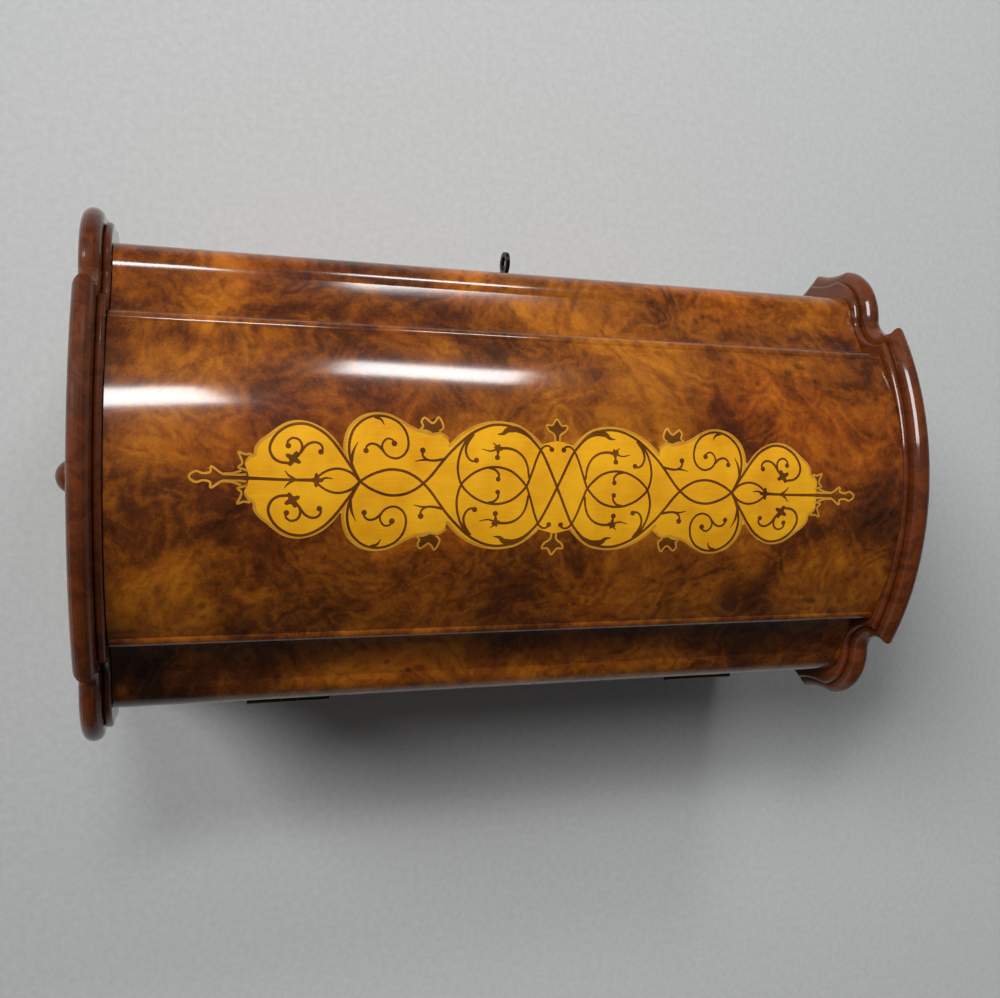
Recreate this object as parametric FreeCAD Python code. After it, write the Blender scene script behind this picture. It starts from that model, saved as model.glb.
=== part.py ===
import FreeCAD, Part
import math
import os

# A lever-wound cylinder music box in a veneered case with a domed lid and two moulded end boards.
# Millimetres, +Z up. +X runs along the case to the end with the stop knob, -Y is the front with the
# keyhole. The origin is under the middle of the whole box, on the surface that it stands on.

V = FreeCAD.Vector
ALONG = V(1, 0, 0)
BACK = V(0, 1, 0)
UP = V(0, 0, 1)
DOWN = V(0, 0, -1)

# Case
case_length = 580.0
case_depth = 320.0
rim_height = 200.0
wall = 16.0
bottom_height = 30.0
bottom_thickness = 12.0
moulding_bottom = 6.0
moulding_lap = 10.0
moulding_projection = 10.0
moulding_foot = 6.0
partition_height = 165.0
partition_thickness = 7.0
lever_bay = 52.0
control_bay = 52.0

# End boards: a half-round roll round the whole outline and a smaller bead inside it
roll_thickness = 14.5
bead_thickness = 5.5
bead_setback = 9.0
roll_steps = 10
crown_rise = 111.0
crown_drop = 37.0
upper_cusp_inset = 32.0
neck_inset = 23.0
neck_rise = 45.0
neck_hollow = 7.5
lobe_overhang = 24.0
lobe_rise = 8.0
lobe_swell = 11.0
lower_cusp_overhang = 27.3
lower_cusp_drop = 31.0
flank_hollow = 2.2
waist_overhang = 3.0
waist_height = 100.0
waist_hollow = 5.5
foot_overhang = 24.0
foot_height = 20.0
foot_hollow = 6.5

# Lid: dome, small step down at its lip, then an ogee shoulder out to the face of the case
lid_gap = 0.3
lid_end_gap = 0.5
dome_rise = 101.0
dome_radius = 185.0
dome_wall = 11.0
lip_inset = 54.0
step_inset = 49.25
step_rise = 47.0
ogee_inset = 19.0
ogee_rise = 30.5
ogee_hollow = 1.3
ogee_swell = 5.4
shoulder_rise = 11.0
lid_wall = 10.0
lid_end_thickness = 10.0
glue_line = 0.05

# Marquetry let into the dome
inlay_thickness = 0.6
inlay_heart_place = 178.0
inlay_heart_radius = 20.0
inlay_knot_place = 140.0
inlay_scroll_place = 122.0
inlay_scroll_radius = 21.5
inlay_bud_place = 87.0
inlay_bud_radius = 6.0
inlay_circle_place = 46.0
inlay_circle_radius = 24.0
inlay_half_width = 43.0
inlay_tip_place = 238.0
inlay_tip_width = 6.0
inlay_neck_width = 30.0

# Lid hinges
hinge_spacing = 340.0
hinge_axis_offset = 2.5
leaf_length = 60.0
leaf_width = 17.0
leaf_thickness = 2.0
knuckle_radius = 3.5
knuckle_count = 5
knuckle_gap = 0.2
hinge_pin_radius = 1.5

# Screws
running_clearance = 0.05
press_clearance = 0.01
screw_clearance = 0.05
small_screw_radius = 1.2
small_screw_length = 9.0
large_screw_radius = 2.0
large_screw_length = 14.0

# Lock and key
key_drop = 22.0
key_shank_radius = 2.2
key_bow_radius = 9.0
key_bow_hole_radius = 5.5
key_bow_thickness = 3.0
key_projection = 23.0
key_bit_radius = 8.0
key_bit_width = 2.4
key_bit_length = 3.4
lock_length = 56.0
lock_depth = 9.0
lock_plate = 1.5
lock_bottom_drop = 14.0
lock_top_gap = 1.5
bolt_length = 30.0
bolt_height = 6.0
bolt_width = 3.0
bolt_travel = 6.6
bolt_rise = 12.0
staple_thickness = 3.0
staple_width = 4.8
staple_rim = 0.8
link_plate_length = 40.0
link_plate_width = 8.0
link_plate_thickness = 2.0
escutcheon_half_width = 7.0
escutcheon_thickness = 1.0

# Bedplate
post_height = 20.0
post_radius = 9.0
bed_thickness = 8.0
bed_front = -105.0
bed_back = 85.0
bed_gap = 2.0
post_inset = 22.0

# Tune cylinder, its arbor and its bearings
arbor_height = 48.0
arbor_y = -5.0
arbor_radius = 4.0
cylinder_radius = 28.0
cylinder_wall = 1.5
cylinder_cap = 4.0
cylinder_cap_inset = 3.0
tune_shift = 2.4
bearing_thickness = 6.0
bearing_boss = 12.0
bearing_foot_reach = 9.0
bearing_foot_thickness = 6.0
bearing_gap = 10.0
cylinder_gap = 14.0

# Spring barrel and winding
train_module = 0.9
pinion_teeth = 20
barrel_teeth = 80
train_width = 5.0
barrel_radius = 33.0
barrel_length = 50.0
barrel_wall = 2.0
barrel_cap = 3.0
winding_arbor_radius = 5.0
winding_hub_radius = 8.0
mainspring_thickness = 1.2
mainspring_turns = 6
mainspring_gap = 0.4
bracket_gap = 2.0
bracket_thickness = 6.0
ratchet_radius = 18.0
ratchet_depth = 2.0
ratchet_teeth = 24
ratchet_width = 4.0
ratchet_gap = 4.0
barrel_gap = 3.0
click_stud_radius = 2.0
click_reach = 24.0
click_rise = 7.0
click_width = 6.0
click_clearance = 0.3
lever_length = 110.0
lever_width = 12.0
lever_thickness = 5.0
lever_hub_radius = 12.0
lever_gap = 3.0
grip_radius = 8.0
grip_length = 24.0
arbor_hole_radius = 14.0

# Comb
comb_depth = 64.0
comb_thickness = 3.0
comb_tip_gap = 1.3
comb_pitch = 4.0
comb_slot = 0.6
comb_long_slot = 48.0
comb_short_slot = 28.0
comb_margin = 6.0
comb_base_width = 18.0
comb_screw_count = 8

# Governor: two wheels, an endless screw and the air brake on top of it
fine_module = 0.6
drive_teeth = 96
drive_width = 4.0
drive_gap = 6.0
first_pinion_teeth = 16
first_wheel_teeth = 30
second_pinion_teeth = 15
worm_wheel_teeth = 24
governor_length = 30.0
governor_plate = 3.0
governor_base = 5.0
governor_margin = 8.0
governor_rise = 18.0
governor_pivot_radius = 1.5
wheel_width = 3.0
worm_radius = 3.0
worm_core_radius = 1.9
worm_turns = 4
worm_gap = 0.3
worm_offset = 16.0
fly_radius = 13.0
fly_height = 12.0
fly_thickness = 1.0
fly_hub_radius = 3.0

# Controls in the right-hand bay
knob_radius = 11.5
knob_foot_radius = 9.0
knob_foot_length = 2.5
knob_waist_radius = 6.5
knob_waist_length = 3.0
knob_cap_height = 7.5
knob_cheek = 1.2
knob_projection = 20.0
knob_gap = 0.5
knob_drop = 10.0
stop_rod_radius = 4.0
slide_clearance = 0.1
collar_radius = 9.0
collar_thickness = 2.0
collar_play = 1.2
control_inset = 28.0
control_height = 38.0
control_shaft_radius = 3.0
control_span = 128.0
control_base_thickness = 4.0
control_base_width = 28.0
control_upright = 5.0
rocker_radius = 6.0
stop_lever_width = 8.0
stop_lever_thickness = 4.0
stop_finger_width = 3.0
stop_finger_height = 8.0
change_lever_place = -38.0
change_lever_hub = 15.0
change_lever_height = 72.0
change_ball_radius = 7.0

# Places that follow from the sizes
half_length = case_length / 2
half_depth = case_depth / 2
inner_depth = half_depth - wall
floor_height = bottom_height + bottom_thickness
lid_rim = rim_height + lid_gap
lid_half_length = half_length - lid_end_gap
outer_half_length = half_length + bead_thickness + roll_thickness
frame_shift = V(-knob_projection / 2, 0, 0)

bed_bottom = floor_height + post_height
bed_top = bed_bottom + bed_thickness
left_partition_x = -half_length + lever_bay
right_partition_x = half_length - control_bay - partition_thickness
bed_left = left_partition_x + partition_thickness + bed_gap
bed_right = right_partition_x - bed_gap
axis_height = bed_top + arbor_height

barrel_y = arbor_y + train_module * (pinion_teeth + barrel_teeth) / 2
bracket_left = bed_left + bracket_gap
bracket_right = bracket_left + bracket_thickness
ratchet_left = bracket_right + ratchet_gap
ratchet_right = ratchet_left + ratchet_width
barrel_left = ratchet_right + barrel_gap
barrel_right = barrel_left + barrel_length
left_bearing_x = barrel_right + bearing_gap
cylinder_left = left_bearing_x + bearing_thickness + cylinder_gap

governor_right = bed_right - bed_gap
governor_left = governor_right - governor_length
drive_right = governor_left - drive_gap
drive_left = drive_right - drive_width
cylinder_right = drive_left - tune_shift - bed_gap
first_y = arbor_y + fine_module * (drive_teeth + first_pinion_teeth) / 2
second_y = first_y + fine_module * (first_wheel_teeth + second_pinion_teeth) / 2
addendum = 0.8
dedendum = 1.1
worm_wheel_tip = fine_module * (worm_wheel_teeth / 2 + addendum)
worm_y = second_y + worm_wheel_tip + worm_gap + worm_radius
worm_x = governor_left + worm_offset
governor_front = first_y - governor_margin
governor_back = worm_y + governor_margin
governor_top = axis_height + governor_rise
fly_bottom = governor_top + governor_plate

comb_tip_y = arbor_y - cylinder_radius - comb_tip_gap
comb_back_y = comb_tip_y - comb_depth
comb_bottom = axis_height - comb_thickness

hinge_y = half_depth + hinge_axis_offset
hinge_z = rim_height + lid_gap / 2
key_height = rim_height - key_drop
lock_back = -inner_depth
lock_front = lock_back - lock_depth
lock_bottom = key_height - lock_bottom_drop
lock_top = rim_height - lock_top_gap
bolt_y = (lock_front + lock_back) / 2
bolt_z = key_height + bolt_rise
staple_x = bolt_length / 2 + staple_thickness / 2 + running_clearance + bolt_travel / 4

knob_height = rim_height - knob_drop
knob_start = outer_half_length + knob_gap
control_x = half_length - control_inset
control_z = floor_height + control_height


def block(x, y, z):
    """Box between the (low, high) pairs x, y and z."""
    return Part.makeBox(x[1] - x[0], y[1] - y[0], z[1] - z[0], V(x[0], y[0], z[0]))


def bar(radius, start, end):
    """Round bar from start to end."""
    run = end - start
    return Part.makeCylinder(radius, run.Length, start, run)


def bar_along(radius, x, y, z):
    """Round bar along X between the pair x, on the axis (y, z)."""
    return bar(radius, V(x[0], y, z), V(x[1], y, z))


def joined(shapes):
    """One solid from shapes that touch or overlap."""
    whole = shapes[0].fuse(shapes[1:])
    return whole.removeSplitter()


def group(shapes):
    """Separate solids kept together."""
    return Part.makeCompound(shapes)


def prism(points, x):
    """Polygon of (y, z) points drawn out between the pair x."""
    corners = [V(x[0], y, z) for y, z in points]
    face = Part.Face(Part.makePolygon(corners + corners[:1]))
    return face.extrude(V(x[1] - x[0], 0, 0))


def bulged_edge(start, end, bulge):
    """Line in a YZ plane, or an arc whose middle stands bulge to the left of the run."""
    if bulge == 0:
        return Part.LineSegment(start, end).toShape()
    run = end - start
    left = V(0, -run.z, run.y)
    left.normalize()
    return Part.Arc(start, (start + end) * 0.5 + left * bulge, end).toShape()


def mirrored_wire(half, bulges):
    """Closed wire at x = 0 from the +Y half of a symmetric outline, given from the top down."""
    points = half + [(-y, z) for y, z in reversed(half) if y > 0]
    bends = bulges + [0.0] + list(reversed(bulges))
    edges = []
    for place, (y, z) in enumerate(points):
        next_y, next_z = points[(place + 1) % len(points)]
        edges.append(bulged_edge(V(0, y, z), V(0, next_y, next_z), bends[place]))
    return Part.Wire(edges)


def arc_sag(radius, chord):
    """Height of an arc of this radius over its chord."""
    return radius - math.sqrt(radius ** 2 - (chord / 2) ** 2)


def end_board_outline():
    """Outline of an end board, carried below the floor so that its foot can be cut flat."""
    crown = rim_height + crown_rise
    cusp_y = half_depth - upper_cusp_inset
    cusp_z = crown - crown_drop
    half = [
        (0.0, crown),
        (cusp_y, cusp_z),
        (half_depth - neck_inset, rim_height + neck_rise),
        (half_depth + lobe_overhang, rim_height + lobe_rise),
        (half_depth + lower_cusp_overhang, rim_height - lower_cusp_drop),
        (half_depth + waist_overhang, waist_height),
        (half_depth + foot_overhang, foot_height),
        (half_depth + foot_overhang, -roll_thickness),
    ]
    crown_chord = math.hypot(cusp_y, crown_drop)
    crown_radius = crown_chord ** 2 / (2 * crown_drop)
    crown_bend = arc_sag(crown_radius, crown_chord)
    bends = [crown_bend, -neck_hollow, lobe_swell, -flank_hollow, -waist_hollow, -foot_hollow, 0.0]
    return mirrored_wire(half, bends)


def rolled_plate(outline, setback, thickness, x):
    """Plate from x onwards whose whole edge is a half round, standing setback inside the outline."""
    radius = thickness / 2
    sections = []
    for step in range(roll_steps + 1):
        turn = math.pi * (step / roll_steps - 0.5)
        inset = setback + radius * (1 - math.cos(turn))
        section = outline.makeOffset2D(-inset, 2) if inset > 0 else outline.copy()
        section.translate(V(x + radius * (1 + math.sin(turn)), 0, 0))
        sections.append(section)
    return Part.makeLoft(sections, True, True)


def right_end_board():
    """Moulded end board on the +X end, without the hole for the stop rod."""
    outline = end_board_outline()
    roll = rolled_plate(outline, 0.0, roll_thickness, half_length + bead_thickness)
    bead = rolled_plate(outline, bead_setback, bead_thickness, half_length)
    board = joined([roll, bead])
    reach = half_depth + rim_height
    below = block((half_length - wall, outer_half_length + wall), (-reach, reach), (-reach, 0.0))
    return board.cut(below)


def stop_rod_hole(x):
    """Round way for the stop rod."""
    return bar_along(stop_rod_radius + slide_clearance, x, 0.0, knob_height)


def end_boards():
    """Left board and right board, the right one bored for the stop rod."""
    right = right_end_board()
    left = right.mirror(V(0, 0, 0), ALONG)
    bored = right.cut(stop_rod_hole((half_length - wall, outer_half_length + wall)))
    return left, bored


def base_moulding(side):
    """Ogee moulding along the foot of the front (side -1) or back (side 1) board."""
    face = half_depth
    out = half_depth + moulding_projection
    top = bottom_height + moulding_lap
    start = V(-half_length, side * face, top)
    lip = V(-half_length, side * (face + moulding_projection / 3), top)
    nose = V(-half_length, side * out, bottom_height - moulding_lap / 3)
    corners = [
        V(-half_length, side * out, moulding_bottom),
        V(-half_length, side * (face - moulding_foot), moulding_bottom),
        V(-half_length, side * (face - moulding_foot), bottom_height),
        V(-half_length, side * face, bottom_height),
        start,
    ]
    hollow = V(-half_length, side * (face + moulding_projection / 2), bottom_height + moulding_lap / 6)
    edges = [Part.LineSegment(start, lip).toShape(), Part.Arc(lip, hollow, nose).toShape()]
    edges.append(Part.LineSegment(nose, corners[0]).toShape())
    for place in range(len(corners) - 1):
        edges.append(Part.LineSegment(corners[place], corners[place + 1]).toShape())
    return Part.Face(Part.Wire(edges)).extrude(V(case_length, 0, 0))


def screw(seat, out, radius, length):
    """Slotted cheese-head screw with the underside of its head at seat, pointing out of the work."""
    head_radius = 2 * radius
    head_height = radius
    head = Part.makeCylinder(head_radius, head_height)
    shank = Part.makeCylinder(radius, length, V(0, 0, -length))
    slot_width = radius / 2
    across = (-slot_width / 2, slot_width / 2)
    slot = block((-head_radius, head_radius), across, (head_height / 2, head_height))
    body = joined([head, shank]).cut(slot)
    body.Placement = FreeCAD.Placement(seat, FreeCAD.Rotation(UP, out))
    return body


def screw_hole(seat, out, radius, length):
    """Hole for such a screw, with a counterbore for its head."""
    shank = bar(radius + screw_clearance, seat - out * (length + screw_clearance), seat)
    head = bar(2 * radius + screw_clearance, seat, seat + out * radius)
    return joined([shank, head])


def small_screws(seats, out):
    """Small screws in these seats."""
    return [screw(seat, out, small_screw_radius, small_screw_length) for seat in seats]


def small_screw_holes(seats, out):
    """Holes for small screws in these seats."""
    return [screw_hole(seat, out, small_screw_radius, small_screw_length) for seat in seats]


def large_screws(seats):
    """Large upright screws in these seats."""
    return [screw(seat, UP, large_screw_radius, large_screw_length) for seat in seats]


def large_screw_holes(seats):
    """Holes for large upright screws in these seats."""
    return [screw_hole(seat, UP, large_screw_radius, large_screw_length) for seat in seats]


def hinge_places():
    """Middle of each hinge along X."""
    return [-hinge_spacing / 2, hinge_spacing / 2]


def knuckles(middle, odd, radius, spare):
    """Knuckles of one leaf: the odd ones belong to the case, the even ones to the lid."""
    pitch = leaf_length / knuckle_count
    first = 0 if odd else 1
    shapes = []
    for place in range(first, knuckle_count, 2):
        low = middle - leaf_length / 2 + place * pitch + knuckle_gap / 2 - spare
        high = low + pitch - knuckle_gap + 2 * spare
        shapes.append(bar_along(radius, (low, high), hinge_y, hinge_z))
    return shapes


def leaf_screw_seats(middle, side):
    """Seats of a leaf's screws: side -1 is the case's leaf, 1 is the lid's leaf."""
    level = hinge_z + side * (lid_gap / 2 + small_screw_radius)
    step = leaf_length / 3
    seat_y = hinge_y - leaf_width * 2 / 3
    return [V(middle + count * step, seat_y, level) for count in (-1, 0, 1)]


def hinge_leaf(middle, side):
    """One leaf: side -1 lies in the rim of the case, 1 in the rim of the lid."""
    face = hinge_z + side * lid_gap / 2
    levels = sorted((face, face + side * leaf_thickness))
    x = (middle - leaf_length / 2, middle + leaf_length / 2)
    plate = block(x, (hinge_y - leaf_width, hinge_y), levels)
    own = knuckles(middle, side < 0, knuckle_radius, 0.0)
    others = knuckles(middle, side > 0, knuckle_radius + knuckle_gap, knuckle_gap / 2)
    leaf = joined([plate] + own).cut(others)
    leaf = leaf.cut(bar_along(hinge_pin_radius + running_clearance, x, hinge_y, hinge_z))
    return leaf.cut(small_screw_holes(leaf_screw_seats(middle, side), V(0, 0, -side)))


def hinge_mortises(side):
    """What the hinges take out of the case (side -1) or the lid (side 1)."""
    cuts = []
    for middle in hinge_places():
        face = hinge_z + side * lid_gap / 2
        levels = sorted((face - side * lid_gap, face + side * leaf_thickness))
        x = (middle - leaf_length / 2, middle + leaf_length / 2)
        cuts.append(block(x, (hinge_y - leaf_width, hinge_y), levels))
        spare = (x[0] - knuckle_gap, x[1] + knuckle_gap)
        cuts.append(bar_along(knuckle_radius + 2 * knuckle_gap, spare, hinge_y, hinge_z))
        cuts += small_screw_holes(leaf_screw_seats(middle, side), V(0, 0, -side))
    return cuts


def hinge_screws(side):
    """Screws of the case's leaves (side -1) or the lid's leaves (side 1)."""
    seats = [seat for middle in hinge_places() for seat in leaf_screw_seats(middle, side)]
    return small_screws(seats, V(0, 0, -side))


def hinge_pins():
    """Pins through the knuckles."""
    reach = leaf_length / 2
    return [bar_along(hinge_pin_radius, (x - reach, x + reach), hinge_y, hinge_z) for x in hinge_places()]


def keyhole(y):
    """Keyhole between the pair y: a round hole with a slot below it for the bit."""
    spare = 2 * slide_clearance
    round_hole = bar(key_shank_radius + spare, V(0, y[0], key_height), V(0, y[1], key_height))
    half = key_bit_width / 2 + spare
    slot = block((-half, half), y, (key_height - key_bit_radius - spare, key_height))
    return joined([round_hole, slot])


def lock_screw_seats():
    """Seats of the lock's screws, in the corners of its back plate."""
    level = (lock_bottom + lock_top) / 2
    reach = lock_length / 2 - 2 * small_screw_radius - lock_plate
    return [V(x, lock_back, level) for x in (-reach, reach)]


def lock_case():
    """Box lock let into the back of the front board, with room for the bolt, the bit and the staple."""
    body = block((-lock_length / 2, lock_length / 2), (lock_front, lock_back), (lock_bottom, lock_top))
    inside = (lock_front + lock_plate, lock_back - lock_plate)
    swing = key_bit_radius + 4 * slide_clearance
    ward = bar(swing, V(0, inside[0], key_height), V(0, inside[1], key_height))
    half = bolt_width / 2 + slide_clearance
    low = bolt_z - bolt_height / 2 - slide_clearance
    high = bolt_z + bolt_height / 2 + slide_clearance
    reach = bolt_length / 2 + bolt_travel + slide_clearance
    way = block((-bolt_length / 2 - slide_clearance, reach), (bolt_y - half, bolt_y + half), (low, high))
    spare = staple_thickness / 2 + 5 * slide_clearance
    pocket = block((staple_x - spare, staple_x + spare), inside, (low - 2 * staple_thickness, rim_height))
    bored = body.cut([ward, way, pocket, keyhole((lock_front - wall, inside[0]))])
    return bored.cut(small_screw_holes(lock_screw_seats(), BACK))


def lock_bolt():
    """Bolt that runs sideways through the staple."""
    half = bolt_width / 2
    levels = (bolt_z - bolt_height / 2, bolt_z + bolt_height / 2)
    return block((-bolt_length / 2, bolt_length / 2), (bolt_y - half, bolt_y + half), levels)


def lid_link_plate():
    """Plate in the lid's rim with the staple that the bolt catches."""
    reach = link_plate_length / 2
    width = (bolt_y - link_plate_width / 2, bolt_y + link_plate_width / 2)
    plate = block((-reach, reach), width, (lid_rim, lid_rim + link_plate_thickness))
    low = bolt_z - bolt_height / 2 - staple_thickness
    x = (staple_x - staple_thickness / 2, staple_x + staple_thickness / 2)
    tongue = block(x, (bolt_y - staple_width / 2, bolt_y + staple_width / 2), (low, lid_rim))
    half = staple_width / 2 - staple_rim
    spare = 5 * slide_clearance
    levels = (bolt_z - bolt_height / 2 - spare, bolt_z + bolt_height / 2 + spare)
    eye = block((x[0] - wall, x[1] + wall), (bolt_y - half, bolt_y + half), levels)
    return joined([plate, tongue.cut(eye)]).cut(small_screw_holes(lid_screw_seats(), DOWN))


def key():
    """Key with a ring bow, its bit hanging down in the lock."""
    bow_y = -half_depth - key_projection + key_bow_radius
    tip_y = lock_back - lock_plate - 10 * slide_clearance
    half = key_bow_thickness / 2
    bow = bar(key_bow_radius, V(-half, bow_y, key_height), V(half, bow_y, key_height))
    hole = bar(key_bow_hole_radius, V(-half, bow_y, key_height), V(half, bow_y, key_height))
    rim_middle = (key_bow_radius + key_bow_hole_radius) / 2
    shank = bar(key_shank_radius, V(0, bow_y + rim_middle, key_height), V(0, tip_y, key_height))
    collar_end = V(0, -half_depth - escutcheon_thickness - key_shank_radius, key_height)
    collar = bar(1.5 * key_shank_radius, collar_end - BACK * key_shank_radius, collar_end)
    bit_start = (lock_front + lock_back - key_bit_length) / 2
    bit_half = key_bit_width / 2
    levels = (key_height - key_bit_radius, key_height)
    bit = block((-bit_half, bit_half), (bit_start, bit_start + key_bit_length), levels)
    notch_depth = (key_bit_radius - key_shank_radius) / 3
    notch_y = (bit_start + key_bit_length / 3, bit_start + key_bit_length * 2 / 3)
    notch = block((-bit_half, bit_half), notch_y, (levels[0], levels[0] + notch_depth))
    return joined([bow.cut(hole), shank, collar, bit.cut(notch)])


def escutcheon():
    """Keyhole plate on the front, round at both ends."""
    y = (-half_depth - escutcheon_thickness, -half_depth)
    half = escutcheon_half_width
    low = key_height - key_bit_radius + half / 2
    high = key_height + half / 2
    ends = [bar(half, V(0, y[0], z), V(0, y[1], z)) for z in (low, high)]
    return joined(ends + [block((-half, half), y, (low, high))]).cut(keyhole(y))


def front_board():
    """Front board with its keyhole and the mortise for the lock."""
    board = block((-half_length, half_length), (-half_depth, -inner_depth), (bottom_height, rim_height))
    mortise = block((-lock_length / 2, lock_length / 2), (lock_front, lock_back), (lock_bottom, rim_height))
    holes = small_screw_holes(lock_screw_seats(), BACK)
    return board.cut([mortise, keyhole((-half_depth, lock_front))] + holes)


def back_board():
    """Back board with the mortises of the hinges."""
    board = block((-half_length, half_length), (inner_depth, half_depth), (bottom_height, rim_height))
    return board.cut(hinge_mortises(-1))


def bottom_board():
    """Bottom of the case."""
    return block((-half_length, half_length), (-inner_depth, inner_depth), (bottom_height, floor_height))


def partition(x):
    """Cross wall between the movement and a bay, from x onwards."""
    return block((x, x + partition_thickness), (-inner_depth, inner_depth), (floor_height, partition_height))


def left_partition():
    """Cross wall with a hole for the winding arbor."""
    x = (left_partition_x, left_partition_x + partition_thickness)
    return partition(left_partition_x).cut(bar_along(arbor_hole_radius, x, barrel_y, axis_height))


def stop_finger_z():
    """Lowest and highest level of the stop lever's finger, beside the fly."""
    low = fly_bottom + (fly_height - stop_finger_height) / 2
    return low, low + stop_finger_height


def right_partition():
    """Cross wall with a slot for the stop lever's finger."""
    low, high = stop_finger_z()
    spare = stop_lever_thickness
    half = stop_lever_thickness
    x = (right_partition_x, right_partition_x + partition_thickness)
    slot = block(x, (worm_y - half, worm_y + half), (low - spare, high + spare))
    return partition(right_partition_x).cut(slot)


def lid_outer_wire():
    """Section of the lid's outside."""
    lip_y = half_depth - lip_inset
    crown = rim_height + dome_rise
    lip_z = crown - arc_sag(dome_radius, 2 * lip_y)
    half = [
        (0.0, crown),
        (lip_y, lip_z),
        (half_depth - step_inset, rim_height + step_rise),
        (half_depth - ogee_inset, rim_height + ogee_rise),
        (half_depth, rim_height + shoulder_rise),
        (half_depth, lid_rim),
    ]
    dome_bend = arc_sag(dome_radius, math.hypot(lip_y, crown - lip_z))
    return mirrored_wire(half, [dome_bend, 0.0, -ogee_hollow, ogee_swell, 0.0])


def lid_inner_wire(inset):
    """Section of the lid's hollow, inset all round."""
    lip_y = half_depth - lip_inset - lid_wall
    crown = rim_height + dome_rise - dome_wall
    lip_z = crown - arc_sag(dome_radius - dome_wall, 2 * lip_y)
    half = [
        (0.0, crown),
        (lip_y, lip_z),
        (half_depth - step_inset - lid_wall, rim_height + step_rise - lid_wall),
        (half_depth - ogee_inset - 2 * lid_wall, rim_height + ogee_rise - lid_wall / 5),
        (inner_depth, rim_height + shoulder_rise + lid_wall / 2),
        (inner_depth, lid_rim),
    ]
    dome_bend = arc_sag(dome_radius - dome_wall, math.hypot(lip_y, crown - lip_z))
    wire = mirrored_wire(half, [dome_bend, 0.0, 0.0, 0.0, 0.0])
    return wire.makeOffset2D(-inset, 2) if inset > 0 else wire


def drawn_along(wire, x):
    """Face of a wire drawn out along X between the pair x."""
    face = Part.Face(wire)
    face.translate(V(x[0], 0, 0))
    return face.extrude(V(x[1] - x[0], 0, 0))


def marquetry():
    """Thin cartouche in the skin of the dome: hearts, scrolls and circles in a chain."""
    low = rim_height + step_rise
    high = rim_height + dome_rise + wall
    discs = []

    def disc(x, y, radius):
        discs.append(bar(radius, V(x, y, low), V(x, y, high)))

    heart_y = inlay_half_width - inlay_heart_radius
    scroll_y = inlay_half_width - inlay_scroll_radius
    circle_y = inlay_half_width - inlay_circle_radius
    neck = inlay_neck_width / 2
    tip = inlay_tip_width / 2
    outer = inlay_heart_place + inlay_heart_radius
    for end in (-1, 1):
        for side in (-1, 1):
            disc(end * inlay_heart_place, side * heart_y, inlay_heart_radius)
            disc(end * inlay_scroll_place, side * scroll_y, inlay_scroll_radius)
            disc(end * inlay_circle_place, side * circle_y, inlay_circle_radius)
            disc(end * inlay_bud_place, side * (inlay_half_width - inlay_bud_radius), inlay_bud_radius)
        spans = [(inlay_knot_place, outer - tip, heart_y), (outer - 2 * tip, inlay_tip_place, tip)]
        spans += [(inlay_circle_place, inlay_scroll_place, circle_y), (0.0, inlay_circle_place, neck)]
        spans += [(inlay_scroll_place, inlay_knot_place, tip)]
        for near, far, half in spans:
            x = sorted((end * near, end * far))
            discs.append(block(x, (-half, half), (low, high)))
        bud_reach = inlay_half_width - inlay_bud_radius
        x = sorted((end * inlay_bud_place - tip, end * inlay_bud_place + tip))
        discs.append(block(x, (-bud_reach, bud_reach), (low, high)))
    cartouche = discs[0].fuse(discs[1:])
    axis_z = rim_height + dome_rise - dome_radius
    x = (-inlay_tip_place, inlay_tip_place)
    core = bar_along(dome_radius - inlay_thickness, x, 0.0, axis_z)
    skin = bar_along(dome_radius, x, 0.0, axis_z).cut(core)
    return cartouche.common(skin).removeSplitter()


def lid_screw_seats():
    """Seats of the screws that hold the link plate."""
    reach = link_plate_length / 2 - 3 * small_screw_radius
    return [V(x, bolt_y, lid_rim + small_screw_radius) for x in (-reach, 0.0)]


def lid_shell(inlay):
    """Hollow lid, with the marquetry, the hinges and the link plate let in."""
    x = (-lid_half_length, lid_half_length)
    shell = drawn_along(lid_outer_wire(), x).cut(drawn_along(lid_inner_wire(0.0), x))
    reach = link_plate_length / 2
    width = (bolt_y - link_plate_width / 2, bolt_y + link_plate_width / 2)
    plate = block((-reach, reach), width, (lid_rim, lid_rim + link_plate_thickness))
    holes = small_screw_holes(lid_screw_seats(), DOWN)
    return shell.cut([inlay, plate] + holes + hinge_mortises(1))


def lid_end(side):
    """Board that closes one end of the lid's hollow."""
    x = sorted((side * lid_half_length, side * (lid_half_length - lid_end_thickness)))
    return drawn_along(lid_inner_wire(glue_line), x)


def gear(teeth, module, phase, x, y, z):
    """Solid spur wheel on the axis (y, z), with a tooth at the angle phase, from the YZ plane's +Y."""
    pitch_radius = module * teeth / 2
    root_radius = pitch_radius - dedendum * module
    tip_radius = pitch_radius + addendum * module
    pitch = 2 * math.pi / teeth
    shape = ((root_radius, -0.30), (tip_radius, -0.10), (tip_radius, 0.10), (root_radius, 0.30))
    points = []
    for tooth in range(teeth):
        for radius, offset in shape:
            angle = phase + (tooth + offset) * pitch
            points.append((y + radius * math.cos(angle), z + radius * math.sin(angle)))
    return prism(points, x)


def meshing_phase(teeth):
    """Phase of a wheel that stands on the +Y side of another and turns a gap towards it."""
    return math.pi + math.pi / teeth


def bedplate_screw_places():
    """Where the bedplate stands on its posts."""
    xs = (bed_left + post_inset, bed_right - post_inset)
    ys = (bed_front + post_inset / 2, bed_back - post_inset / 2)
    return [(x, y) for x in xs for y in ys]


def bed_screw_seats():
    """Seats of the bedplate's screws."""
    return [V(x, y, bed_top) for x, y in bedplate_screw_places()]


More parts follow.
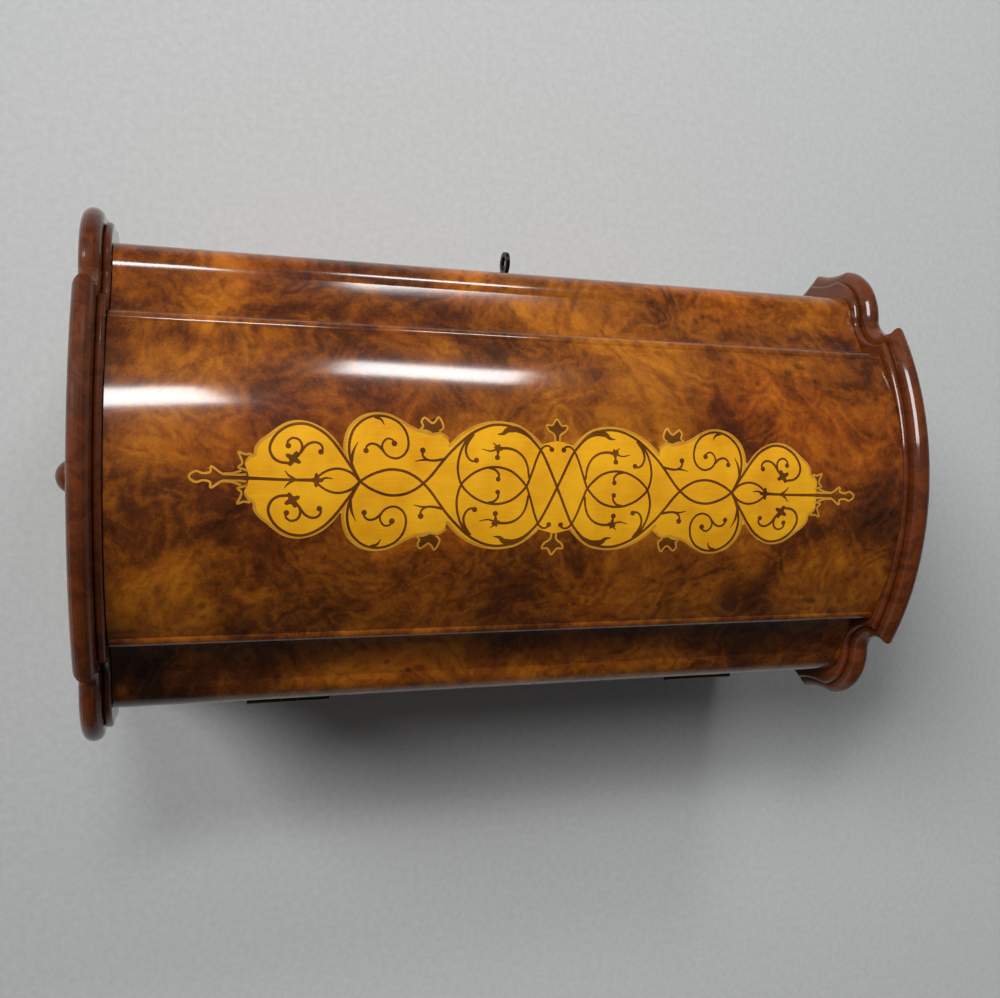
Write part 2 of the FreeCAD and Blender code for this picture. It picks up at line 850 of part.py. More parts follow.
def foot_screw_seats():
    """Seats of the screws in the feet of the bearings, the barrel bracket and the governor."""
    level = bed_top + bearing_foot_thickness
    reach = bearing_foot_reach / 2
    seats = []
    for y in (arbor_y, barrel_y):
        seats.append(V(left_bearing_x - reach, y, level))
    seats.append(V(bracket_right + reach, barrel_y - bearing_boss, level))
    seats.append(V(bracket_right + reach, barrel_y + bearing_boss, level))
    for side in (-1, 1):
        place = governor_left + bearing_thickness + reach
        seats.append(V(place, arbor_y + side * bearing_boss * 2 / 3, level))
    return seats


def comb_screw_places():
    """Places of the comb's screws along X."""
    left = cylinder_left + comb_margin
    right = cylinder_right - comb_margin
    step = (right - left) / comb_screw_count
    return [left + (place + 0.5) * step for place in range(comb_screw_count)]


def comb_screw_seats():
    """Seats of the comb's screws."""
    return [V(x, comb_back_y + comb_base_width / 2, axis_height) for x in comb_screw_places()]


def bedplate():
    """Bedplate of the movement, with its screw holes."""
    plate = block((bed_left, bed_right), (bed_front, bed_back), (bed_bottom, bed_top))
    return plate.cut(large_screw_holes(bed_screw_seats()) + small_screw_holes(foot_screw_seats(), UP))


def bed_posts():
    """Posts between the bottom board and the bedplate."""
    posts = []
    for x, y in bedplate_screw_places():
        post = bar(post_radius, V(x, y, floor_height), V(x, y, bed_bottom))
        posts.append(post.cut(large_screw_holes([V(x, y, bed_top)])))
    return group(posts)


def foot_holes(shape):
    """The shape with the foot screws' holes."""
    return shape.cut(small_screw_holes(foot_screw_seats(), UP))


def left_bearing():
    """Bearing for the left ends of the cylinder's arbor and the winding arbor."""
    x = (left_bearing_x, left_bearing_x + bearing_thickness)
    upright = block(x, (arbor_y - bearing_boss, barrel_y + bearing_boss), (bed_top, axis_height))
    bosses = [bar_along(bearing_boss, x, y, axis_height) for y in (arbor_y, barrel_y)]
    foot_x = (left_bearing_x - bearing_foot_reach, left_bearing_x)
    foot_y = (arbor_y - bearing_boss, barrel_y + bearing_boss)
    foot = block(foot_x, foot_y, (bed_top, bed_top + bearing_foot_thickness))
    whole = joined([upright] + bosses + [foot])
    bores = [bar_along(arbor_radius + running_clearance, x, arbor_y, axis_height)]
    bores.append(bar_along(winding_arbor_radius + running_clearance, x, barrel_y, axis_height))
    return foot_holes(whole.cut(bores))


def right_bearing():
    """Bearing for the right end of the cylinder's arbor."""
    x = (governor_left, governor_left + bearing_thickness)
    width = (arbor_y - bearing_boss, arbor_y + bearing_boss)
    upright = block(x, width, (bed_top, axis_height))
    boss = bar_along(bearing_boss, x, arbor_y, axis_height)
    foot = block((x[1], x[1] + bearing_foot_reach), width, (bed_top, bed_top + bearing_foot_thickness))
    bore = bar_along(arbor_radius + running_clearance, x, arbor_y, axis_height)
    return foot_holes(joined([upright, boss, foot]).cut(bore))


def click_pivot():
    """Axis of the click, as (y, z)."""
    return barrel_y + click_reach, axis_height + ratchet_radius + click_rise


def barrel_bracket():
    """Bracket for the winding arbor, with the stud that the click hangs on."""
    x = (bracket_left, bracket_right)
    pivot_y, pivot_z = click_pivot()
    width = (barrel_y - 2 * bearing_boss, pivot_y + click_width)
    upright = block(x, width, (bed_top, pivot_z + click_width))
    foot_x = (bracket_right, bracket_right + bearing_foot_reach)
    foot = block(foot_x, width, (bed_top, bed_top + bearing_foot_thickness))
    stud = bar_along(click_stud_radius, (bracket_right, ratchet_right), pivot_y, pivot_z)
    bore = bar_along(winding_arbor_radius + running_clearance, x, barrel_y, axis_height)
    return foot_holes(joined([upright, foot, stud]).cut(bore))


def cylinder_arbor():
    """Arbor that the tune cylinder turns on."""
    x = (barrel_right - train_width - press_clearance, governor_left + bearing_thickness + bed_gap)
    return bar_along(arbor_radius, x, arbor_y, axis_height)


def cylinder_pinion():
    """Pinion that the barrel drives."""
    x = (barrel_right - train_width, barrel_right)
    wheel = gear(pinion_teeth, train_module, 0.0, x, arbor_y, axis_height)
    return wheel.cut(bar_along(arbor_radius + press_clearance, x, arbor_y, axis_height))


def governor_drive_wheel():
    """Wheel on the arbor that drives the governor."""
    x = (drive_left, drive_right)
    wheel = gear(drive_teeth, fine_module, 0.0, x, arbor_y, axis_height)
    return wheel.cut(bar_along(arbor_radius + press_clearance, x, arbor_y, axis_height))


def tune_cylinder():
    """Tube that carries the tunes' pins."""
    x = (cylinder_left, cylinder_right)
    tube = bar_along(cylinder_radius, x, arbor_y, axis_height)
    return tube.cut(bar_along(cylinder_radius - cylinder_wall, x, arbor_y, axis_height))


def cylinder_caps():
    """Two discs that carry the tube on its arbor."""
    caps = []
    inner = cylinder_radius - cylinder_wall - press_clearance
    for start in (cylinder_left + cylinder_cap_inset, cylinder_right - cylinder_cap_inset - cylinder_cap):
        x = (start, start + cylinder_cap)
        cap = bar_along(inner, x, arbor_y, axis_height)
        caps.append(cap.cut(bar_along(arbor_radius + running_clearance, x, arbor_y, axis_height)))
    return group(caps)


def spring_barrel():
    """Drum of the mainspring with the first wheel of the train on its right-hand wall."""
    wheel_x = (barrel_right - train_width, barrel_right)
    drum_x = (barrel_left + barrel_cap, barrel_right - train_width)
    phase = meshing_phase(barrel_teeth)
    wheel = gear(barrel_teeth, train_module, phase, wheel_x, barrel_y, axis_height)
    drum = bar_along(barrel_radius, drum_x, barrel_y, axis_height)
    hollow = bar_along(barrel_radius - barrel_wall, drum_x, barrel_y, axis_height)
    whole = joined([wheel, drum.cut(hollow)])
    return whole.cut(bar_along(winding_arbor_radius + running_clearance, wheel_x, barrel_y, axis_height))


def barrel_cover():
    """Cover of the drum's open end."""
    x = (barrel_left, barrel_left + barrel_cap)
    disc = bar_along(barrel_radius, x, barrel_y, axis_height)
    return disc.cut(bar_along(winding_arbor_radius + running_clearance, x, barrel_y, axis_height))


def mainspring():
    """Spiral strip between the hub of the winding arbor and the drum."""
    inner = winding_hub_radius + mainspring_gap
    outer = barrel_radius - barrel_wall - mainspring_thickness - press_clearance
    steps = 24 * mainspring_turns
    near = []
    far = []
    for step in range(steps + 1):
        angle = 2 * math.pi * mainspring_turns * step / steps
        radius = inner + (outer - inner) * step / steps
        across = (math.cos(angle), math.sin(angle))
        near.append((barrel_y + radius * across[0], axis_height + radius * across[1]))
        wide = radius + mainspring_thickness
        far.append((barrel_y + wide * across[0], axis_height + wide * across[1]))
    x = (barrel_left + barrel_cap + mainspring_gap, barrel_right - train_width - mainspring_gap)
    return prism(near + far[::-1], x)


def lever_x():
    """Span of the winding lever's blade along X, left of the partition."""
    right = left_partition_x - lever_gap
    return right - lever_thickness, right


def winding_arbor():
    """Arbor of the barrel, from the lever to the left bearing."""
    x = (lever_x()[0] - lever_gap, left_bearing_x + bearing_thickness)
    arbor = bar_along(winding_arbor_radius, x, barrel_y, axis_height)
    hub_x = (barrel_left + barrel_cap + mainspring_gap, barrel_right - train_width - mainspring_gap)
    return joined([arbor, bar_along(winding_hub_radius, hub_x, barrel_y, axis_height)])


def ratchet_wheel():
    """Ratchet that keeps the spring wound."""
    x = (ratchet_left, ratchet_right)
    pitch = 2 * math.pi / ratchet_teeth
    points = []
    for tooth in range(ratchet_teeth):
        for radius, turn in ((ratchet_radius - ratchet_depth, 0.0), (ratchet_radius, 0.1)):
            angle = (tooth + turn) * pitch
            points.append((barrel_y + radius * math.cos(angle), axis_height + radius * math.sin(angle)))
    wheel = prism(points, x)
    return wheel.cut(bar_along(winding_arbor_radius + press_clearance, x, barrel_y, axis_height))


def click():
    """Click whose nose lies on the ratchet."""
    pivot_y, pivot_z = click_pivot()
    half = click_width / 2
    nose_z = axis_height + ratchet_radius + click_clearance
    points = [
        (pivot_y, pivot_z - half),
        (pivot_y, pivot_z + half),
        (barrel_y - half / 2, pivot_z + half / 2),
        (barrel_y - half / 2, nose_z),
        (barrel_y + half / 4, nose_z),
        (barrel_y + 2 * half, pivot_z - half),
    ]
    x = (ratchet_left, ratchet_right)
    body = joined([prism(points, x), bar_along(half, x, pivot_y, pivot_z)])
    return body.cut(bar_along(click_stud_radius + running_clearance, x, pivot_y, pivot_z))


def winding_lever():
    """Lever on the end of the winding arbor, lying towards the front."""
    x = lever_x()
    half = lever_width / 2
    end_y = barrel_y - lever_length
    blade = block(x, (end_y, barrel_y), (axis_height - half, axis_height + half))
    hub = bar_along(lever_hub_radius, x, barrel_y, axis_height)
    nose = bar_along(half, x, end_y, axis_height)
    stud = bar_along(half / 2, (x[0] - grip_length, x[0]), end_y, axis_height)
    whole = joined([blade, hub, nose, stud])
    return whole.cut(bar_along(winding_arbor_radius + running_clearance, x, barrel_y, axis_height))


def lever_grip():
    """Turned grip on the lever's stud."""
    x = lever_x()
    end_y = barrel_y - lever_length
    left = x[0] - grip_length
    waist = grip_radius * 3 / 4
    section = [
        V(x[0], end_y, axis_height + lever_width / 4 + press_clearance),
        V(x[0], end_y, axis_height + waist),
        V(left, end_y, axis_height + waist),
        V(left, end_y, axis_height + lever_width / 4 + press_clearance),
    ]
    middle = V((x[0] + left) / 2, end_y, axis_height + grip_radius)
    edges = [
        Part.LineSegment(section[0], section[1]).toShape(),
        Part.Arc(section[1], middle, section[2]).toShape(),
        Part.LineSegment(section[2], section[3]).toShape(),
        Part.LineSegment(section[3], section[0]).toShape(),
    ]
    return Part.Face(Part.Wire(edges)).revolve(V(0, end_y, axis_height), ALONG, 360)


def comb():
    """Steel comb: one plate slit into teeth, long in the bass on the left and short in the treble."""
    left = cylinder_left + comb_margin / 2
    count = int((cylinder_right - comb_margin - cylinder_left) / comb_pitch)
    right = left + count * comb_pitch
    points = [(left, comb_back_y)]
    for tooth in range(count):
        start = left + tooth * comb_pitch
        end = start + comb_pitch - comb_slot
        points.append((start, comb_tip_y))
        points.append((end, comb_tip_y))
        if tooth < count - 1:
            share = tooth / (count - 1)
            depth = comb_long_slot + (comb_short_slot - comb_long_slot) * share
            points.append((end, comb_tip_y - depth))
            points.append((end + comb_slot, comb_tip_y - depth))
    points.append((right - comb_slot, comb_back_y))
    corners = [V(x, y, comb_bottom) for x, y in points]
    plate = Part.Face(Part.makePolygon(corners + corners[:1])).extrude(V(0, 0, comb_thickness))
    return plate.cut(large_screw_holes(comb_screw_seats()))


def comb_base():
    """Iron bar that the comb is screwed to."""
    x = (cylinder_left + comb_margin / 2, cylinder_right - comb_margin / 2)
    base = block(x, (comb_back_y, comb_back_y + comb_base_width), (bed_top, comb_bottom))
    return base.cut(large_screw_holes(comb_screw_seats()))


def movement_screws():
    """Screws of the bedplate, the comb, the bearings and the barrel bracket."""
    large = large_screws(bed_screw_seats() + comb_screw_seats())
    return group(large + small_screws(foot_screw_seats(), UP))


def governor_frame():
    """Two plates on a base with a bridge over them, bored for the wheels' pivots."""
    y = (governor_front, governor_back)
    left = (governor_left, governor_left + governor_plate)
    right = (governor_right - governor_plate, governor_right)
    plates = [block(x, y, (bed_top, governor_top)) for x in (left, right)]
    base = block((governor_left, governor_right), y, (bed_top, bed_top + governor_base))
    bridge = block((governor_left, governor_right), (worm_y - governor_margin, governor_back),
                   (governor_top - governor_plate, governor_top))
    whole = joined(plates + [base, bridge])
    through = (governor_left, governor_right)
    hole = governor_pivot_radius + running_clearance
    bores = [bar_along(hole, through, place, axis_height) for place in (first_y, second_y)]
    bores.append(bar(hole, V(worm_x, worm_y, bed_top + governor_base / 2), V(worm_x, worm_y, governor_top)))
    return whole.cut(bores)


def governor_first_wheel():
    """First pinion and wheel of the governor on their arbor."""
    arbor = bar_along(governor_pivot_radius, (drive_left, governor_right), first_y, axis_height)
    pinion_x = (drive_left, drive_right)
    phase = meshing_phase(first_pinion_teeth)
    pinion = gear(first_pinion_teeth, fine_module, phase, pinion_x, first_y, axis_height)
    wheel_left = governor_left + 2 * governor_plate
    wheel_x = (wheel_left, wheel_left + wheel_width)
    wheel = gear(first_wheel_teeth, fine_module, 0.0, wheel_x, first_y, axis_height)
    return joined([arbor, pinion, wheel])


def governor_second_wheel():
    """Second pinion and the wheel that drives the endless screw, on their arbor."""
    arbor = bar_along(governor_pivot_radius, (governor_left, governor_right), second_y, axis_height)
    pinion_left = governor_left + 2 * governor_plate
    pinion_x = (pinion_left, pinion_left + wheel_width)
    phase = meshing_phase(second_pinion_teeth)
    pinion = gear(second_pinion_teeth, fine_module, phase, pinion_x, second_y, axis_height)
    wheel_x = (worm_x - wheel_width / 2, worm_x + wheel_width / 2)
    wheel = gear(worm_wheel_teeth, fine_module, 0.0, wheel_x, second_y, axis_height)
    return joined([arbor, pinion, wheel])


def endless_screw():
    """Two-start screw on its upright arbor."""
    low = bed_top + governor_base / 2 + running_clearance
    arbor = bar(governor_pivot_radius, V(worm_x, worm_y, low), V(worm_x, worm_y, fly_bottom + fly_height))
    lead = 2 * math.pi * fine_module
    length = worm_turns * lead
    start = axis_height - length / 2
    core = bar(worm_core_radius, V(worm_x, worm_y, start - lead), V(worm_x, worm_y, start + length + lead))
    threads = []
    inside = worm_core_radius - (worm_radius - worm_core_radius) / 4
    half = lead / 8
    for turn in (0.0, 180.0):
        helix = Part.makeHelix(lead, length, worm_core_radius)
        crest = half / 2
        flanks = [(inside, -half), (worm_radius, -crest), (worm_radius, crest), (inside, half)]
        corners = [V(reach, 0, level) for reach, level in flanks]
        profile = Part.makePolygon(corners + corners[:1])
        thread = Part.Wire(helix).makePipeShell([profile], True, True)
        thread.rotate(V(0, 0, 0), UP, turn)
        thread.translate(V(worm_x, worm_y, start))
        threads.append(thread)
    return joined([core, arbor] + threads)


def air_brake():
    """Fly with two wings on top of the endless screw."""
    z = (fly_bottom + running_clearance, fly_bottom + fly_height)
    hub = bar(fly_hub_radius, V(worm_x, worm_y, z[0]), V(worm_x, worm_y, z[1]))
    half = fly_thickness / 2
    wings = block((worm_x - fly_radius, worm_x + fly_radius), (worm_y - half, worm_y + half), z)
    bore = bar(governor_pivot_radius + press_clearance, V(worm_x, worm_y, z[0]), V(worm_x, worm_y, z[1]))
    return joined([hub, wings]).cut(bore)


def stop_collars():
    """Faces of the two collars that take the stop lever's finger between them, as low X values."""
    half = stop_finger_width / 2 + collar_play
    return control_x - half - collar_thickness, control_x + half


def stop_rod():
    """Rod from the knob to the stop lever, with two collars."""
    left, right = stop_collars()
    x = (left - collar_thickness, knob_start + knob_projection / 2)
    pieces = [bar_along(stop_rod_radius, x, 0.0, knob_height)]
    for start in (left, right):
        pieces.append(bar_along(collar_radius, (start, start + collar_thickness), 0.0, knob_height))
    return joined(pieces)


def stop_knob():
    """Turned knob on the right-hand end: a foot, a waist and a mushroom head."""
    end = outer_half_length + knob_projection
    bore = stop_rod_radius + press_clearance
    blind = knob_start + knob_projection / 2
    foot = knob_start + knob_foot_length
    waist = foot + knob_waist_length
    belly = end - knob_cap_height
    cap_radius = (knob_radius ** 2 + knob_cap_height ** 2) / (2 * knob_cap_height)
    half_turn = math.asin(knob_radius / cap_radius) / 2

    def at(x, radius):
        return V(x, 0, knob_height + radius)

    brow = at(end - cap_radius * (1 - math.cos(half_turn)), cap_radius * math.sin(half_turn))
    cheek = at((waist + belly) / 2 - knob_cheek, (knob_waist_radius + knob_radius) / 2 + knob_cheek)
    corners = [at(knob_start, bore), at(knob_start, knob_foot_radius), at(foot, knob_foot_radius)]
    corners.append(at(waist, knob_waist_radius))
    edges = [Part.LineSegment(a, b).toShape() for a, b in zip(corners, corners[1:])]
    edges.append(Part.Arc(corners[-1], cheek, at(belly, knob_radius)).toShape())
    edges.append(Part.Arc(at(belly, knob_radius), brow, at(end, 0.0)).toShape())
    core = [at(end, 0.0), at(blind, 0.0), at(blind, bore), at(knob_start, bore)]
    edges += [Part.LineSegment(a, b).toShape() for a, b in zip(core, core[1:])]
    return Part.Face(Part.Wire(edges)).revolve(V(0, 0, knob_height), ALONG, 360)


def rocker(y):
    """Hub on the control shaft between the pair y."""
    return bar(rocker_radius, V(control_x, y[0], control_z), V(control_x, y[1], control_z))


def shaft_bore(y, spare):
    """Hole for the control shaft between the pair y."""
    radius = control_shaft_radius + spare
    return bar(radius, V(control_x, y[0], control_z), V(control_x, y[1], control_z))


def stop_lever():
    """Rocker between the stop rod and the fly."""
    near = stop_rod_radius + collar_play
    half = stop_lever_width / 2
    upright_y = (near, near + stop_lever_thickness)
    arm_y = (worm_y - stop_lever_thickness / 2, worm_y + stop_lever_thickness / 2)
    shoulder = knob_height - collar_radius - stop_lever_thickness
    upright = block((control_x - half, control_x + half), upright_y, (control_z, shoulder))
    finger_half = stop_finger_width / 2
    finger = block((control_x - finger_half, control_x + finger_half), upright_y,
                   (shoulder, knob_height + collar_radius / 2))
    low, high = stop_finger_z()
    arm = block((control_x - half, control_x + half), arm_y, (control_z, high))
    pointer = block((worm_x + fly_radius + stop_finger_width / 5, control_x), arm_y, (low, high))
    hub_y = (upright_y[0], arm_y[1])
    whole = joined([upright, finger, arm, pointer, rocker(hub_y)])
    return whole.cut(shaft_bore(hub_y, running_clearance))


def change_lever():
    """Hand lever that sets the box to change or repeat its tunes."""
    y = (change_lever_place - change_lever_hub / 2, change_lever_place + change_lever_hub / 2)
    half = stop_lever_width / 2
    blade_half = stop_lever_thickness / 2
    blade_y = (change_lever_place - blade_half, change_lever_place + blade_half)
    top = control_z + change_lever_height
    blade = block((control_x - half, control_x + half), blade_y, (control_z, top))
    ball = Part.makeSphere(change_ball_radius, V(control_x, change_lever_place, top))
    return joined([rocker(y), blade, ball]).cut(shaft_bore(y, running_clearance))


def control_frame():
    """Base with two uprights that hold the control shaft."""
    half = control_span / 2
    x = (control_x - control_base_width / 2, control_x + control_base_width / 2)
    base = block(x, (-half, half), (floor_height, floor_height + control_base_thickness))
    pieces = [base]
    for y in ((-half, -half + control_upright), (half - control_upright, half)):
        reach = 1.5 * rocker_radius
        pieces.append(block((control_x - reach, control_x + reach), y, (floor_height, control_z)))
        pieces.append(bar(reach, V(control_x, y[0], control_z), V(control_x, y[1], control_z)))
    return joined(pieces).cut(shaft_bore((-half, half), press_clearance))


def control_shaft():
    """Shaft that the stop lever and the change lever turn on."""
    half = control_span / 2
    return bar(control_shaft_radius, V(control_x, -half, control_z), V(control_x, half, control_z))


def all_parts():
    """Every piece by its name."""
    left_board, right_board = end_boards()
    inlay = marquetry()
    lock_screws = small_screws(lock_screw_seats(), BACK)
    plate_screws = small_screws(lid_screw_seats(), DOWN)
    return {
        "left_end_board": left_board,
        "right_end_board": right_board,
        "front_board": front_board(),
        "back_board": back_board(),
        "bottom_board": bottom_board(),
        "front_base_moulding": base_moulding(-1),
        "back_base_moulding": base_moulding(1),
        "left_partition": left_partition(),
        "right_partition": right_partition(),
        "lock_case": lock_case(),
        "keyhole_escutcheon": escutcheon(),
        "hinge_case_leaves": group([hinge_leaf(x, -1) for x in hinge_places()]),
        "hinge_pins": group(hinge_pins()),
        "case_screws": group(hinge_screws(-1) + lock_screws),
        "lid_shell": lid_shell(inlay),
        "lid_left_end": lid_end(-1),
        "lid_right_end": lid_end(1),
        "lid_marquetry": inlay,
        "hinge_lid_leaves": group([hinge_leaf(x, 1) for x in hinge_places()]),
        "lid_link_plate": lid_link_plate(),
        "lid_screws": group(hinge_screws(1) + plate_screws),
        "key": key(),
        "lock_bolt": lock_bolt(),
        "bedplate": bedplate(),
        "bed_posts": bed_posts(),
        "movement_screws": movement_screws(),
        "left_bearing": left_bearing(),
        "right_bearing": right_bearing(),
        "barrel_bracket": barrel_bracket(),
        "comb_base": comb_base(),
        "comb": comb(),
        "cylinder_arbor": cylinder_arbor(),
        "cylinder_pinion": cylinder_pinion(),
        "governor_drive_wheel": governor_drive_wheel(),
        "tune_cylinder": tune_cylinder(),
        "cylinder_caps": cylinder_caps(),
        "spring_barrel": spring_barrel(),
        "barrel_cover": barrel_cover(),
        "mainspring": mainspring(),
        "winding_arbor": winding_arbor(),
        "ratchet_wheel": ratchet_wheel(),
        "click": click(),
        "winding_lever": winding_lever(),
        "lever_grip": lever_grip(),
        "governor_frame": governor_frame(),
        "governor_first_wheel": governor_first_wheel(),
        "governor_second_wheel": governor_second_wheel(),
        "endless_screw": endless_screw(),
        "air_brake": air_brake(),
        "control_frame": control_frame(),
        "control_shaft": control_shaft(),
        "stop_lever": stop_lever(),
        "change_lever": change_lever(),
        "stop_rod": stop_rod(),
        "stop_knob": stop_knob(),
    }


def main():
    """Write every piece to its own file."""
    os.makedirs("parts", exist_ok=True)
    for name, shape in all_parts().items():
        shape.translate(frame_shift)
        shape.exportStep(os.path.join("parts", name + ".step"))


main()
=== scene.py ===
"""Looks of a lever-wound cylinder music box: polished burr walnut lid with an inlaid cartouche, moulded
mahogany end boards, and a brass and steel movement inside. Metres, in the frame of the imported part."""

import logging
import math
import random
from dataclasses import dataclass, replace
from enum import Enum
from typing import Iterable, Optional, Sequence, Union

import bmesh
import bpy
from mathutils import Matrix, Vector


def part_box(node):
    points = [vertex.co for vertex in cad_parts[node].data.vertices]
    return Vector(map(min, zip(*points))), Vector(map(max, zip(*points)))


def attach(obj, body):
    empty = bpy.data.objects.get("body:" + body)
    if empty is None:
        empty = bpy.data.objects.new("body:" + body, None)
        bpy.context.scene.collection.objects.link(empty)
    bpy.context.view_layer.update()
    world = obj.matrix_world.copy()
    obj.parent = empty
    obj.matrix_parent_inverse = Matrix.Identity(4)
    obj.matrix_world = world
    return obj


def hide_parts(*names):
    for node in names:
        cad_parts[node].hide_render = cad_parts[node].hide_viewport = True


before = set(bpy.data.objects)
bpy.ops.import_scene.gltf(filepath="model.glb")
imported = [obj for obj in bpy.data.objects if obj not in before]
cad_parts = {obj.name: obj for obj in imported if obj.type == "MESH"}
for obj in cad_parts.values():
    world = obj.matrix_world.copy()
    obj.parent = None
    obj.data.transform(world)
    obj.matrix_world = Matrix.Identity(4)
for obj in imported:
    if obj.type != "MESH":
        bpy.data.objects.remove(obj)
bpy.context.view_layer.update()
MM = 0.001
LOG = logging.getLogger("music_box")
SMOOTH_ANGLE = math.radians(40)
MIX_SHARE, MIX_FIRST, MIX_SECOND, MIX_RESULT = 0, 6, 7, 2

Point = tuple[float, float]
Path = list[Point]
Bud = tuple[Point, float, float]
Triple = tuple[float, float, float]
Colour = tuple[float, float, float, float]
Value = Union["Signal", float]
Piece = bpy.types.Object
Drawing = bmesh.types.BMesh


class Axis(Enum):
    """Direction that a board's grain runs in."""

    X = 0
    Y = 1
    Z = 2


class Coordinate(Enum):
    """Outputs of the coordinate node, by number."""

    NORMAL = 1
    OBJECT = 3


class Layer(Enum):
    """How far the top of each sheet stands over the dome of the lid, in metres."""

    VENEER = 0.25 * MM
    FIELD = 0.31 * MM
    EDGING = 0.35 * MM
    LINES = 0.39 * MM


def srgb(red: float, green: float, blue: float) -> Colour:
    """Turn a display colour into the linear colour that a shader takes.

    Args:
        red, green, blue: display values from 0 to 255.

    Returns:
        The linear colour with full alpha.
    """
    def linear(value: float) -> float:
        """One channel, from display to linear."""
        share = value / 255.0
        return share / 12.92 if share <= 0.04045 else ((share + 0.055) / 1.055) ** 2.4

    return linear(red), linear(green), linear(blue), 1.0


def shaded(colour: Colour, share: float) -> Colour:
    """A colour with each channel cut down to a share."""
    return colour[0] * share, colour[1] * share, colour[2] * share, 1.0


class Signal:
    """A shader output that adds Math nodes when it is used in arithmetic."""

    def __init__(self, shader: "Shader", socket: bpy.types.NodeSocket) -> None:
        """Keep the shader that the socket belongs to."""
        self.shader = shader
        self.socket = socket

    def _math(self, operation: str, *values: Value) -> "Signal":
        """Add one Math node.

        Args:
            operation: the node's operation.
            values: its inputs, in order.

        Returns:
            The node's result.
        """
        return self.shader.node("ShaderNodeMath", {"operation": operation}, dict(enumerate(values)))

    def __add__(self, other: Value) -> "Signal":
        """Sum."""
        return self._math("ADD", self, other)

    def __mul__(self, other: Value) -> "Signal":
        """Product."""
        return self._math("MULTIPLY", self, other)

    def __rsub__(self, other: float) -> "Signal":
        """Difference from a number."""
        return self._math("SUBTRACT", other, self)

    def sine(self) -> "Signal":
        """Sine of an angle in radians."""
        return self._math("SINE", self)

    def step(self, low: float, high: float) -> "Signal":
        """Ramp smoothly from 0 at low to 1 at high.

        Args:
            low, high: the values where the ramp starts and ends.

        Returns:
            The ramp's value.
        """
        settings = {"interpolation_type": "SMOOTHSTEP"}
        return self.shader.node("ShaderNodeMapRange", settings, {0: self, 1: low, 2: high})


